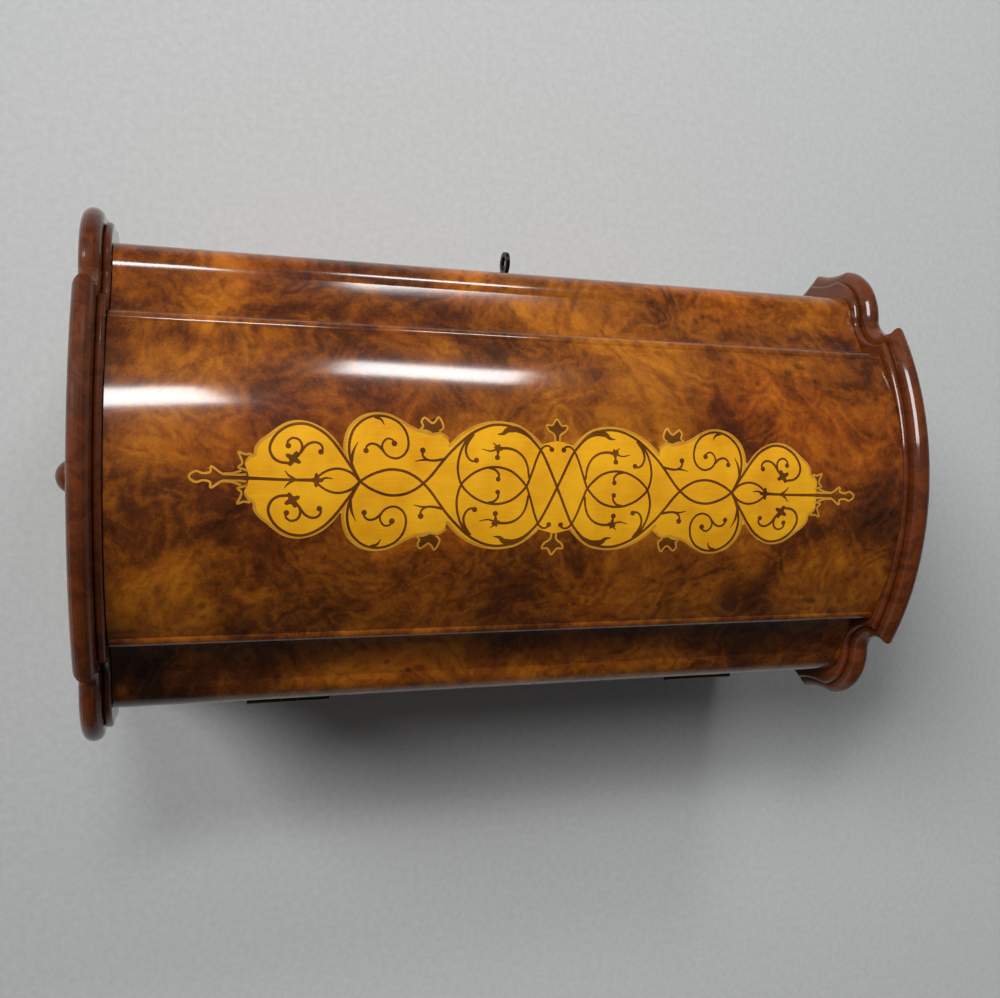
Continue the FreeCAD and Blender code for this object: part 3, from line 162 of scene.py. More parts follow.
class Shader:
    """A material being built, with one method for any node."""

    def __init__(self, name: str) -> None:
        """Start from a plain surface."""
        self.material = bpy.data.materials.new(name)
        self.material.use_nodes = True
        self.tree = self.material.node_tree
        self.surface = self.tree.nodes["Principled BSDF"]

    def node(self, kind: str, settings: Optional[dict] = None, sockets: Optional[dict] = None,
             output: int = 0) -> Signal:
        """Add any node.

        Args:
            kind: the node's type.
            settings: its own settings, or the stops of its ramp.
            sockets: values or signals by socket name or number.
            output: which of its outputs to return.

        Returns:
            That output.
        """
        made = self.tree.nodes.new(kind)
        for name, value in (settings or {}).items():
            if name == "stops":
                self._set_stops(made.color_ramp, value)
            else:
                setattr(made, name, value)
        for key, value in (sockets or {}).items():
            self._feed(made.inputs[key], value)
        return Signal(self, made.outputs[output])

    def _feed(self, socket: bpy.types.NodeSocket, value: object) -> None:
        """Link a signal to a socket, or set the socket to a value."""
        if isinstance(value, Signal):
            self.tree.links.new(value.socket, socket)
        else:
            socket.default_value = value

    def _set_stops(self, ramp: bpy.types.ColorRamp, stops: list[tuple[float, Colour]]) -> None:
        """Give a colour ramp its stops."""
        while len(ramp.elements) < len(stops):
            ramp.elements.new(1.0)
        for element, (place, colour) in zip(ramp.elements, stops):
            element.position = place
            element.color = colour

    def place(self, kind: Coordinate = Coordinate.OBJECT) -> Signal:
        """Coordinates of one kind."""
        return self.node("ShaderNodeTexCoord", output=kind.value)

    def vector(self, operation: str, sockets: dict, output: int = 0) -> Signal:
        """Add one Vector Math node."""
        return self.node("ShaderNodeVectorMath", {"operation": operation}, sockets, output)

    def moved(self, vector: Signal, scale: Triple, turn: Triple = (0.0, 0.0, 0.0)) -> Signal:
        """Coordinates stretched and turned.

        Args:
            vector: the coordinates.
            scale: factor along each axis.
            turn: angles about each axis, in radians.

        Returns:
            The new coordinates.
        """
        return self.node("ShaderNodeMapping", None, {"Vector": vector, "Scale": scale, "Rotation": turn})

    def noise(self, vector: Signal, scale: float, detail: float = 4.0, roughness: float = 0.55,
              distortion: float = 0.0, output: int = 0) -> Signal:
        """Soft noise from 0 to 1.

        Args:
            vector: coordinates.
            scale: how many features to a metre.
            detail, roughness, distortion: the noise node's own values.
            output: 0 for a value, 1 for a colour.

        Returns:
            The noise.
        """
        sockets = {"Vector": vector, "Scale": scale, "Detail": detail, "Roughness": roughness,
                   "Distortion": distortion}
        return self.node("ShaderNodeTexNoise", None, sockets, output)

    def ramp(self, value: Signal, stops: list[tuple[float, Colour]]) -> Signal:
        """Colour of a value between the given stops."""
        return self.node("ShaderNodeValToRGB", {"stops": stops}, {0: value})

    def mix(self, share: Signal, first: object, second: object, blend: str = "MIX") -> Signal:
        """Blend two colours.

        Args:
            share: how much of the second colour shows.
            first, second: colours or signals.
            blend: the Mix node's blend type.

        Returns:
            The blended colour.
        """
        settings = {"data_type": "RGBA", "blend_type": blend}
        sockets = {MIX_SHARE: share, MIX_FIRST: first, MIX_SECOND: second}
        return self.node("ShaderNodeMix", settings, sockets, MIX_RESULT)

    def warped(self, vector: Signal, scale: float, amount: float) -> Signal:
        """Coordinates pushed about by soft noise.

        Args:
            vector: the coordinates.
            scale: how many swirls to a metre.
            amount: how far a point is pushed, in metres.

        Returns:
            The pushed coordinates.
        """
        push = self.noise(vector, scale, 2.0, 0.5, 0.0, 1)
        centred = self.vector("SUBTRACT", {0: push, 1: (0.5, 0.5, 0.5)})
        scaled = self.vector("SCALE", {0: centred, "Scale": amount})
        return self.vector("ADD", {0: vector, 1: scaled})

    def bump(self, height: Signal, depth: float, strength: float) -> None:
        """Raise the surface by a height.

        Args:
            height: values from 0 to 1.
            depth: the height of 1, in metres.
            strength: how much of the effect shows.
        """
        sockets = {"Strength": strength, "Distance": depth, "Height": height}
        self.finish("Normal", self.node("ShaderNodeBump", None, sockets))

    def finish(self, socket: str, value: object) -> None:
        """Feed or set a socket of the surface."""
        self._feed(self.surface.inputs[socket], value)


@dataclass(frozen=True)
class Finish:
    """A surface finish, made into a material once."""

    name: str

    def paint(self, shader: Shader) -> None:
        """Build the finish in a new shader."""
        raise NotImplementedError

    def material(self) -> bpy.types.Material:
        """The finish's material, made when it is first asked for."""
        known = bpy.data.materials.get(self.name)
        if known:
            return known
        shader = Shader(self.name)
        self.paint(shader)
        return shader.material


@dataclass(frozen=True)
class Polish:
    """Coat of clear French polish."""

    weight: float = 1.0
    roughness: float = 0.11
    gloss: float = 1.45
    under_gloss: float = 0.05

    def lay(self, shader: Shader) -> None:
        """Set the coat on a shader whose coat is the same all over."""
        shader.finish("Coat Weight", self.weight)
        self.smooth(shader)

    def smooth(self, shader: Shader) -> None:
        """Set how smooth the coat is and how little the wood under it shines, not the weight."""
        shader.finish("Coat Roughness", self.roughness)
        shader.finish("Coat IOR", self.gloss)
        shader.finish("Specular IOR Level", self.under_gloss)


@dataclass(frozen=True)
class PlainWood(Finish):
    """Straight-grained wood."""

    grain: Axis = Axis.X
    dark: Colour = srgb(104, 66, 34)
    light: Colour = srgb(158, 112, 66)
    roughness: float = 0.5
    polish: Optional[Polish] = None
    stretch: float = 14.0
    pore_depth: float = 0.8
    band_scale: float = 55.0
    rings_per_band: float = 26.0
    streak_scale: float = 420.0
    pore_scale: float = 1500.0
    pore_shade: float = 0.62
    pore_height: float = 0.05 * MM
    pore_roughness: float = 0.08

    def figure(self, shader: Shader) -> tuple[Signal, Signal]:
        """Work out the grain.

        Args:
            shader: the shader to add nodes to.

        Returns:
            The colour and the height of the pores.
        """
        scale = [1.0, 1.0, 1.0]
        scale[self.grain.value] = 1.0 / self.stretch
        place = shader.warped(shader.place(), 6.0, 0.012)
        along = shader.moved(place, tuple(scale))
        bands = shader.noise(along, self.band_scale, 5.0, 0.6, 0.6)
        rings = (bands * self.rings_per_band).sine() * 0.5 + 0.5
        streaks = shader.noise(along, self.streak_scale, 3.0, 0.6)
        tone = bands * 0.56 + rings * 0.14 + streaks * 0.3
        colour = shader.ramp(tone, [(0.3, self.dark), (0.7, self.light)])
        pores = shader.noise(along, self.pore_scale, 2.0, 0.5).step(0.36, 0.5)
        dull = shaded(self.dark, self.pore_shade)
        return shader.mix((1.0 - pores) * self.pore_depth, colour, dull), pores

    def paint(self, shader: Shader) -> None:
        """Lay the grain, the pores and the polish."""
        colour, pores = self.figure(shader)
        shader.finish("Base Color", colour)
        rough = self.pore_roughness
        shader.finish("Roughness", pores * -rough + (self.roughness + rough))
        shader.bump(pores, self.pore_height, 0.5)
        if self.polish:
            self.polish.lay(shader)


@dataclass(frozen=True)
class BurrWalnut(Finish):
    """Polished burr walnut outside, plain wood on the faces that look into the box."""

    inside: PlainWood = PlainWood("inside_wood")
    axis_height: float = 0.15
    polish: Polish = Polish()
    darkest: Colour = srgb(40, 18, 5)
    dark: Colour = srgb(82, 39, 9)
    middle: Colour = srgb(126, 67, 13)
    light: Colour = srgb(172, 102, 21)
    warm_tint: Colour = srgb(255, 188, 130)
    cloud_scale: float = 8.5
    swirl_scale: float = 24.0
    fleck_scale: float = 250.0
    speck_scale: float = 560.0
    eye_scale: float = 95.0
    lines_per_band: float = 70.0
    inside_roughness: float = 0.5
    outside_drop: float = 0.12
    pore_height: float = 0.04 * MM
    edge_blend: float = 0.001

    def figure(self, shader: Shader) -> Signal:
        """Work out the burr's clouds, swirling lines and eyes.

        Args:
            shader: the shader to add nodes to.

        Returns:
            The colour.
        """
        flat = shader.moved(shader.place(), (1.0, 1.1, 0.8))
        place = shader.warped(shader.warped(flat, 6.0, 0.05), 30.0, 0.012)
        clouds = shader.noise(place, self.cloud_scale, 2.0, 0.5, 0.3)
        swirl = shader.noise(place, self.swirl_scale, 6.0, 0.68, 0.6)
        bands = shader.noise(place, 13.0, 3.0, 0.5, 0.5)
        lines = (bands * self.lines_per_band).sine() * 0.5 + 0.5
        slanted = shader.moved(place, (1.0, 0.7, 1.0), (0.0, 0.0, 0.6))
        flecks = shader.noise(slanted, self.fleck_scale, 4.0, 0.7)
        specks = shader.noise(flat, self.speck_scale, 2.0, 0.6)
        tone = clouds * 0.43 + swirl * 0.33 + flecks * 0.13 + specks * 0.07 + lines * 0.04
        stops = [(0.37, self.darkest), (0.45, self.dark), (0.525, self.middle), (0.63, self.light)]
        colour = shader.ramp(tone, stops)
        sockets = {"Vector": place, "Scale": self.eye_scale}
        eyes = shader.node("ShaderNodeTexVoronoi", {"feature": "SMOOTH_F1"}, sockets)
        patches = shader.noise(flat, 18.0, 2.0, 0.5).step(0.5, 0.62)
        spots = (1.0 - eyes.step(0.08, 0.36)) * patches
        colour = shader.mix(spots * 0.55, colour, self.darkest)
        warm = shader.noise(flat, 5.0, 2.0, 0.5).step(0.42, 0.62)
        return shader.mix(warm * 0.4, colour, self.warm_tint, "MULTIPLY")

    def outward(self, shader: Shader) -> Signal:
        """Tell the outside from the inside.

        Args:
            shader: the shader to add nodes to.

        Returns:
            1 on faces that look away from the box's middle line, 0 on the others.
        """
        away = shader.vector("SUBTRACT", {0: shader.place(), 1: (0.0, 0.0, self.axis_height)})
        across = shader.vector("MULTIPLY", {0: away, 1: (0.0, 1.0, 1.0)})
        facing = shader.vector("DOT_PRODUCT", {0: across, 1: shader.place(Coordinate.NORMAL)}, 1)
        return facing.step(-self.edge_blend, self.edge_blend)

    def paint(self, shader: Shader) -> None:
        """Lay veneer outside, plain wood inside, and polish on the veneer only."""
        outside = self.outward(shader)
        plain, pores = self.inside.figure(shader)
        shader.finish("Base Color", shader.mix(outside, plain, self.figure(shader)))
        shader.finish("Roughness", outside * -self.outside_drop + self.inside_roughness)
        shader.finish("Coat Weight", outside * self.polish.weight)
        self.polish.smooth(shader)
        shader.bump(pores * (1.0 - outside), self.pore_height, 0.4)


@dataclass(frozen=True)
class InlayWood(Finish):
    """Stained inlay wood under the same polish as the veneer round it."""

    dark: Colour = srgb(206, 140, 14)
    light: Colour = srgb(228, 166, 26)
    polish: Polish = Polish()
    grain_scale: float = 900.0
    cloud_scale: float = 38.0

    def paint(self, shader: Shader) -> None:
        """Lay fine grain along the lid with soft cloudy shading."""
        place = shader.place()
        fine = shader.noise(shader.moved(place, (0.05, 1.0, 1.0)), self.grain_scale, 3.0, 0.6)
        clouds = shader.noise(place, self.cloud_scale, 3.0, 0.55)
        tone = fine * 0.25 + clouds * 0.75
        shader.finish("Base Color", shader.ramp(tone, [(0.34, self.dark), (0.66, self.light)]))
        shader.finish("Roughness", fine * 0.1 + 0.35)
        self.polish.lay(shader)


@dataclass(frozen=True)
class Metal(Finish):
    """Metal with soft tarnish and fine scratches."""

    dark: Colour = srgb(150, 112, 50)
    light: Colour = srgb(214, 174, 96)
    roughness: float = 0.26
    scratch: Axis = Axis.X
    grain: float = 700.0
    rough_casting: float = 0.0
    shine: float = 1.0
    scratch_squash: float = 0.03
    scratch_height: float = 0.01 * MM
    cloud_scale: float = 42.0
    casting_scale: float = 520.0

    def paint(self, shader: Shader) -> None:
        """Lay tarnish clouds, scratches along one axis, and any casting's texture."""
        place = shader.place()
        scale = [1.0, 1.0, 1.0]
        scale[self.scratch.value] = self.scratch_squash
        scratches = shader.noise(shader.moved(place, tuple(scale)), self.grain, 3.0, 0.6)
        clouds = shader.noise(place, self.cloud_scale, 5.0, 0.62, 0.4)
        tone = clouds * 0.75 + scratches * 0.25
        shader.finish("Base Color", shader.ramp(tone, [(0.3, self.dark), (0.66, self.light)]))
        shader.finish("Metallic", self.shine)
        shader.finish("Roughness", scratches * 0.16 + clouds * 0.14 + (self.roughness - 0.15))
        if self.rough_casting:
            shader.bump(shader.noise(place, self.casting_scale, 4.0, 0.6), self.rough_casting, 0.7)
        else:
            shader.bump(scratches, self.scratch_height, 0.25)


WAXED = PlainWood("waxed_wood")
WALNUT = BurrWalnut("burr_walnut")
UPRIGHT_MAHOGANY = PlainWood("mahogany_upright", Axis.Z, srgb(62, 27, 10), srgb(102, 48, 18), 0.36,
                             Polish(1.0, 0.09), pore_depth=0.2)
LONG_MAHOGANY = replace(UPRIGHT_MAHOGANY, name="mahogany_along", grain=Axis.X)
SATINWOOD = InlayWood("inlay_satinwood")
PALE_STRING = InlayWood("inlay_pale_string", srgb(168, 112, 28), srgb(204, 148, 48))
SHADED_WOOD = InlayWood("inlay_shaded_wood", srgb(68, 34, 7), srgb(112, 64, 11))
BRASS = Metal("lacquered_brass")
DARK_IRON = Metal("dark_iron", srgb(24, 21, 18), srgb(58, 52, 46), 0.38)
# Hinge brass with painted shade: darkened so that the hinges along the back edge take on the shadow that
# falls there.
PAINTED_SHADE_BRASS = Metal("brass_painted_shade", srgb(46, 32, 16), srgb(92, 68, 34), 0.4)
STEEL = Metal("polished_steel", srgb(150, 150, 152), srgb(214, 215, 216), 0.3, grain=900.0, shine=0.82)
COMB_STEEL = Metal("comb_steel", srgb(166, 166, 165), srgb(212, 212, 210), 0.34, Axis.Y, 420.0,
                   shine=0.72)
BLUED = Metal("dark_steel", srgb(52, 54, 62), srgb(96, 98, 106), 0.3)
BRONZED = Metal("bronzed_iron", srgb(58, 44, 26), srgb(112, 90, 54), 0.42,
                rough_casting=0.12 * MM, shine=0.8)

SLOT_FINISHES: dict[str, Finish] = {
    "moulding": UPRIGHT_MAHOGANY,
    "veneer": WALNUT,
    "inner_wood": WAXED,
    "marquetry": SATINWOOD,
    "turned_wood": LONG_MAHOGANY,
    "brass": BRASS,
    "steel": STEEL,
    "iron": BRONZED,
}
NODE_FINISHES: dict[str, Finish] = {
    "front_base_moulding": LONG_MAHOGANY,
    "back_base_moulding": LONG_MAHOGANY,
    # The hinges take the brass with painted shade.
    "hinge_case_leaves": PAINTED_SHADE_BRASS,
    "hinge_lid_leaves": PAINTED_SHADE_BRASS,
    "hinge_pins": PAINTED_SHADE_BRASS,
    "key": DARK_IRON,
    "comb": COMB_STEEL,
    "mainspring": BLUED,
    "case_screws": BLUED,
    "lid_screws": BLUED,
    "movement_screws": BLUED,
}


def take(piece: Piece) -> None:
    """Select one object alone and make it active."""
    bpy.ops.object.select_all(action="DESELECT")
    piece.select_set(True)
    bpy.context.view_layer.objects.active = piece


def smooth(piece: Piece) -> None:
    """Shade a piece smooth, but leave its sharp edges sharp."""
    take(piece)
    bpy.ops.object.shade_smooth_by_angle(angle=SMOOTH_ANGLE)


def name_active(name: str) -> Piece:
    """Name the active object and its mesh.

    Args:
        name: the piece's name.

    Returns:
        The object.
    """
    piece = bpy.context.active_object
    piece.name = name
    piece.data.name = name
    return piece


def new_piece(name: str, bm: Drawing) -> Piece:
    """Make an object at the origin from an edit mesh.

    Args:
        name: the piece's name.
        bm: its mesh, which is freed.

    Returns:
        The new object.
    """
    mesh = bpy.data.meshes.new(name)
    bm.to_mesh(mesh)
    bm.free()
    piece = bpy.data.objects.new(name, mesh)
    bpy.context.scene.collection.objects.link(piece)
    return piece


def apply_modifier(piece: Piece, kind: str, **settings: object) -> None:
    """Add a modifier to a piece and apply it.

    Args:
        piece: the object.
        kind: the modifier's type.
        settings: its own values.
    """
    take(piece)
    modifier = piece.modifiers.new(kind.title(), kind)
    for name, value in settings.items():
        setattr(modifier, name, value)
    bpy.ops.object.modifier_apply(modifier=modifier.name)


def hand_over(piece: Piece, body: str, finish: Finish) -> None:
    """Dress a finished piece and let it ride on its body.

    Args:
        piece: the object.
        body: the body it moves with.
        finish: its finish.
    """
    piece.data.materials.clear()
    piece.data.materials.append(finish.material())
    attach(piece, body)
    LOG.info("%s: %d faces on %s", piece.name, len(piece.data.polygons), body)


def smooth_path(points: Sequence[Point], step: float = 1.0) -> Path:
    """Draw a smooth line through points.

    Args:
        points: the points, in millimetres.
        step: the spacing of the points returned.

    Returns:
        Points along the line, both ends included.
    """
    ends = [(2 * points[0][0] - points[1][0], 2 * points[0][1] - points[1][1])]
    tail = [(2 * points[-1][0] - points[-2][0], 2 * points[-1][1] - points[-2][1])]
    whole = ends + list(points) + tail
    made: Path = []
    for before, start, end, after in zip(whole, whole[1:], whole[2:], whole[3:]):
        count = max(2, math.ceil(math.dist(start, end) / step))
        for place in range(count):
            t = place / count
            made.append(tuple(
                0.5 * (2 * q + (r - p) * t + (2 * p - 5 * q + 4 * r - s) * t ** 2
                       + (3 * q - p - 3 * r + s) * t ** 3)
                for p, q, r, s in zip(before, start, end, after)))
    return made + [tuple(points[-1])]


def polar(middle: Point, reach: float, angle: float) -> Point:
    """Point at a distance and an angle from another."""
    return middle[0] + reach * math.cos(angle), middle[1] + reach * math.sin(angle)


def mirrored(points: Path, along: int, across: int) -> Path:
    """Points with the sign of each coordinate set."""
    return [(along * a, across * b) for a, b in points]


@dataclass
class Dome:
    """The round top of the lid, and the slightly turned line that the cartouche is laid on."""

    radius: float = 185.0 * MM
    lip_reach: float = 106.0 * MM
    lip_round: float = 2.4 * MM
    step_reach: float = 110.6 * MM
    step_height: float = 247.6 * MM
    sheet: float = 0.35 * MM
    bead_radius: float = 5.5 * MM
    bead_sink: float = 4.0 * MM
    bead_inset: float = 2.1 * MM
    bead_sides: int = 36
    bead_end_round: float = 1.0 * MM
    bead_end_steps: int = 3
    bead_end_angle: float = 60.0
    arc_steps: int = 44
    round_steps: int = 7
    length_steps: int = 40
    end_gap: float = 0.2 * MM
    pattern_along: float = -2.0 * MM
    pattern_across: float = 1.6 * MM
    pattern_turn: float = 0.021

    def __post_init__(self) -> None:
        """Read the dome's place from the lid."""
        low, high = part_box("lid_shell")
        self.middle = (low.x + high.x) / 2
        self.half_length = (high.x - low.x) / 2 - self.end_gap
        self.axis_height = high.z - self.radius

    def on_surface(self, along: float, arc: float, height: float) -> Vector:
        """Point on the dome.

        Args:
            along: distance from the lid's middle, towards the knob.
            arc: distance round the dome from its crown, towards the back.
            height: distance over the dome.

        Returns:
            The point in the part's frame.
        """
        angle = arc / self.radius
        reach = self.radius + height
        return Vector((self.middle + along, reach * math.sin(angle),
                       self.axis_height + reach * math.cos(angle)))

    def on_pattern(self, a: float, b: float, height: float) -> Vector:
        """Point of the cartouche, given in millimetres from its own middle."""
        turn, rise = math.cos(self.pattern_turn), math.sin(self.pattern_turn)
        along = self.pattern_along + (a * turn + b * rise) * MM
        arc = self.pattern_across + (b * turn - a * rise) * MM
        return self.on_surface(along, arc, height)

    def section(self) -> list[Triple]:
        """Half of the veneer's section, from the crown over the rounded lip and down the step.

        Returns:
            Points as distance from the middle, height, and the slope of the surface there.
        """
        lip = math.asin(self.lip_reach / self.radius)
        lip_height = self.axis_height + self.radius * math.cos(lip)
        steep = math.atan2(lip_height - self.step_height, self.step_reach - self.lip_reach)
        start = lip - self.lip_round * math.tan((steep - lip) / 2) / self.radius
        made = []
        for place in range(self.arc_steps + 1):
            slope = start * place / self.arc_steps
            height = self.axis_height + self.radius * math.cos(slope)
            made.append((self.radius * math.sin(slope), height, slope))
        inner = self.radius - self.lip_round
        hub = Vector((inner * math.sin(start), self.axis_height + inner * math.cos(start)))
        for place in range(1, self.round_steps + 1):
            slope = start + (steep - start) * place / self.round_steps
            out, up = self.lip_round * math.sin(slope), self.lip_round * math.cos(slope)
            made.append((hub.x + out, hub.y + up, slope))
        made.append((self.step_reach, self.step_height, steep))
        return made

    def veneer(self) -> None:
        """Sheet of burr veneer over the dome, its lips and the steps below them."""
        half = self.section()
        whole = [(-y, z, -slope) for y, z, slope in reversed(half[1:])] + half
        last = len(whole) - 1
        bpy.ops.mesh.primitive_grid_add(x_subdivisions=self.length_steps, y_subdivisions=last, size=2.0)
        piece = name_active("dome_veneer")
        rise = Layer.VENEER.value
        for vertex in piece.data.vertices:
            y, z, slope = whole[round((vertex.co.y + 1) / 2 * last)]
            along = self.middle + vertex.co.x * self.half_length
            vertex.co = (along, y + rise * math.sin(slope), z + rise * math.cos(slope))
        apply_modifier(piece, "SOLIDIFY", thickness=self.sheet, offset=-1.0)
        smooth(piece)
        hand_over(piece, "lid", WALNUT)

    def lip_beads(self) -> None:
        """Thin rounded nosing along both lips of the dome."""
        arc = self.radius * math.asin(self.lip_reach / self.radius) - self.bead_inset
        rods = []
        for side in (1, -1):
            middle = self.on_surface(0.0, side * arc, -self.bead_sink)
            bpy.ops.mesh.primitive_cylinder_add(vertices=self.bead_sides, radius=self.bead_radius,
                                                depth=2 * self.half_length, location=middle,
                                                rotation=(0, math.pi / 2, 0))
            bpy.ops.object.transform_apply(location=True, rotation=True, scale=True)
            rods.append(bpy.context.active_object)
        take(rods[0])
        rods[1].select_set(True)
        bpy.ops.object.join()
        piece = name_active("lip_beads")
        apply_modifier(piece, "BEVEL", width=self.bead_end_round, segments=self.bead_end_steps,
                       limit_method="ANGLE", angle_limit=math.radians(self.bead_end_angle))
        smooth(piece)
        hand_over(piece, "lid", WALNUT)


@dataclass
class Stroke:
    """Line of inlay of changing width, with a ball at its end if it has one. Millimetres."""

    points: Path
    widths: tuple[float, ...] = (1.8, 1.8)
    ball: float = 0.0

    def width_at(self, share: float) -> float:
        """Width at a share of the stroke's length."""
        place = share * (len(self.widths) - 1)
        low = min(int(place), len(self.widths) - 2)
        return self.widths[low] + (self.widths[low + 1] - self.widths[low]) * (place - low)

    def outline(self, along: int, across: int) -> list[tuple[Point, Point]]:
        """Pairs of points on the two sides of the stroke.

        Args:
            along, across: 1 or -1, the quarter of the cartouche that it is drawn in.

        Returns:
            The pairs, from start to end.
        """
        line = smooth_path(mirrored(self.points, along, across))
        sides = []
        for place, (a, b) in enumerate(line):
            before, after = line[max(place - 1, 0)], line[min(place + 1, len(line) - 1)]
            run = math.dist(before, after) or 1.0
            normal = ((before[1] - after[1]) / run, (after[0] - before[0]) / run)
            half = self.width_at(place / (len(line) - 1)) / 2
            sides.append(((a + normal[0] * half, b + normal[1] * half),
                          (a - normal[0] * half, b - normal[1] * half)))
        return sides


QUARTERS = ((1, 1), (1, -1), (-1, 1), (-1, -1))
TAPER = (2.0, 1.7, 0.4)
VINE = (1.8, 1.6, 1.4)
FINE = (1.4, 1.4)


@dataclass
class Cartouche:
    """Strapwork cartouche of the lid. Its quarter is drawn in millimetres from its middle: the first
    number runs along the lid, the second across it, and each stroke is repeated in all four quarters."""

    dome: Dome
    thickness: float = 0.4 * MM
    slice_width: float = 3.0
    edge_width: float = 1.9
    ball_growth: float = 1.2
    ball_steps: int = 18
    bud_steps: int = 48
    petals: int = 4
    petal_mean: float = 0.7
    petal_swing: float = 0.3
    petal_least: float = 0.5
    buds: tuple[Bud, ...] = (((179.3, 13.2), 5.4, 0.5), ((43, 25.2), 3.2, 0.3))
    end_bud: Bud = ((164.5, 0), 4.6, 0.0)
    heart_edge: tuple[Point, ...] = (
        (206, 0), (207.5, 5), (209, 9.5), (206.5, 14), (203, 16), (202.3, 20.5), (199, 25), (194, 29),
        (189, 33.2), (183, 36.8), (176, 38.2), (168, 37), (160, 33), (153.5, 27), (149, 20.5),
        (145, 13.5))
    scroll_edge: tuple[Point, ...] = (
        (145, 13.5), (146.8, 21), (146.2, 29), (143, 36.8), (136.5, 42.9), (128, 45.9), (119, 45.7),
        (111.5, 42.8), (105, 39), (99, 36.2), (94, 35), (89, 33.8), (83, 34.5), (77.5, 31))
    circle_edge: tuple[Point, ...] = (
        (77.5, 26), (70, 33.5), (61.5, 39.2), (53, 42.6), (45, 44), (38, 44), (30, 42.7), (23.5, 39.7),
        (17, 34.8), (11.5, 29.3))
    neck_edge: tuple[Point, ...] = ((11.5, 29.3), (7, 30.6), (3, 31.6), (0, 32))

    def strokes(self) -> list[Stroke]:
        """Dark lines that are repeated in all four quarters."""
        return [
            Stroke([(136.5, 0), (130, 4.2), (122, 7.4), (115, 8.5), (107, 7.4), (100, 4.2), (94.5, 0),
                    (89, -5.6), (83, -13.3), (77, -20.5), (70, -27.5), (63, -33.5), (56, -37.8),
                    (48, -40.8), (40, -41.6), (32, -40.3), (25, -37.1), (18.5, -32), (12, -24.5),
                    (7, -15), (3.5, -7.5), (0, 0)]),
            Stroke([(62.5, -33.8), (66.5, -28), (69.3, -22), (71, -15), (71, -8), (68.5, 0), (63, 5.8),
                    (57, 9.6), (50, 12), (42, 12.4), (34, 10.2), (28, 6), (22.5, 0), (20.2, -5.5),
                    (18, -11.5), (15.6, -18.5), (12.3, -25.5), (9, -28.3), (5.8, -28), (4.4, -26)],
                   (1.6, 1.6, 1.6, 1.6, 1.4), 1.5),
            Stroke([(136.5, 0), (141, 7), (147, 15.6), (152.5, 23), (159, 29.8), (167, 34.5), (174, 36),
                    (182, 34.4), (189, 29.6), (193, 23.6), (194, 18.6), (192, 13.8), (188, 11),
                    (182, 10.2)]),
            Stroke([(136.5, 0), (141, 4.5), (146, 7), (151.5, 7.8), (157, 6.6), (161.5, 4), (165, 0.6)],
                   VINE),
            Stroke([(136.5, 0), (140, 6.5), (142.8, 13.5), (144, 20.5), (143.3, 28), (140.3, 35),
                    (134.3, 40.7), (127, 43.5), (119, 43.2), (111.8, 40), (107.3, 35), (105.2, 29),
                    (105.3, 23), (108.3, 18), (113.5, 15.8), (119, 17.5), (122.3, 21.8), (121.8, 26),
                    (118.8, 28.7), (115.4, 27.8), (114.4, 25.6)], (1.8, 1.8, 1.6, 1.5, 1.3), 1.6),
            Stroke([(127.5, 43), (123.2, 41.3), (121, 37.6)], (2.2, 1.6, 0.4)),
            Stroke([(121.3, 20.3), (125.3, 23.9), (129.5, 24.9), (132.6, 23), (133, 20.2)], VINE, 1.5),
            Stroke([(142.4, 12), (141.2, 19.5), (138.2, 25.8)], TAPER),
            Stroke([(177.5, 14), (174.6, 18), (174, 22), (176, 25.5), (180, 26.4), (183, 24),
                    (182.6, 21.4)], VINE, 1.5),
            Stroke([(175, 17), (171.5, 21.8), (167, 24.2), (162.8, 23.4), (160.9, 20.5), (162, 18.2)],
                   VINE, 1.5),
            Stroke([(178, 0), (182, 2.6), (184.5, 5.6)], (2.0, 1.4, 0.4)),
            Stroke([(80.8, 16.6), (84, 15.9), (88, 15.3), (92, 15.7), (95.2, 18.2), (95.3, 21.8)],
                   VINE, 1.6),
            Stroke([(89, 15.4), (95, 15.5), (100.5, 14.3)], (1.2, 1.4, 0.4)),
            Stroke([(20.8, 6), (22, 13.7), (24.8, 19.6), (29.8, 23.8), (36, 25.5), (42.5, 25),
                    (48.5, 23.2), (54.5, 24.4)], (1.5, 1.5, 1.9, 0.5)),
            Stroke([(42.2, 25), (43.2, 22), (43.6, 19)], (2.2, 1.6, 1.4), 1.5),
            Stroke([(39.5, 25.4), (43, 26.2), (46.8, 29)], (1.6, 1.8, 0.4)),
            Stroke([(60.5, 34.6), (64.6, 28), (65.8, 22.5), (64, 17.8), (60.8, 15.8), (58.4, 16.6)],
                   (2.6, 1.6, 1.3), 1.5),
            Stroke([(49.5, -12), (45, -10.6), (42.4, -7.6), (42.8, -4.4)], VINE, 1.4),
            Stroke([(16.5, 30.5), (23, 36), (30, 38.9), (36, 38.2), (39.3, 35.6), (43.5, 34.9)],
                   (1.4, 2.4, 3.6, 4.6, 3.0, 0.5)),
        ]

    def axis_strokes(self) -> list[Stroke]:
        """Dark lines that lie on the long middle line, repeated at each end."""
        return [
            Stroke([(164, 0), (185, 0.3), (206, 0), (222, 0), (238, 0.2)], (2.2, 1.8, 2.0, 2.6, 1.2)),
            Stroke([(163, 0.2), (158.5, -1.6), (154, -1.2)], (1.8, 1.3, 0.5)),
        ]

    def flowers(self) -> list[Path]:
        """Dark three-petal flowers that stand outside the edge of a quarter."""
        return [[(84, 35), (81.2, 37.6), (82.2, 42), (84.4, 44.8), (86.4, 42), (88.6, 40.4), (91, 42),
                 (94, 44), (96, 41.2), (95, 37.8), (97, 35.6), (92.5, 35), (89, 33.6)],
                [(206.8, 4.4), (209.4, 5.4), (213, 6.6), (210.6, 9), (211.4, 12.4), (213, 16.2),
                 (209, 14.8), (205.2, 15), (208.6, 10)]]

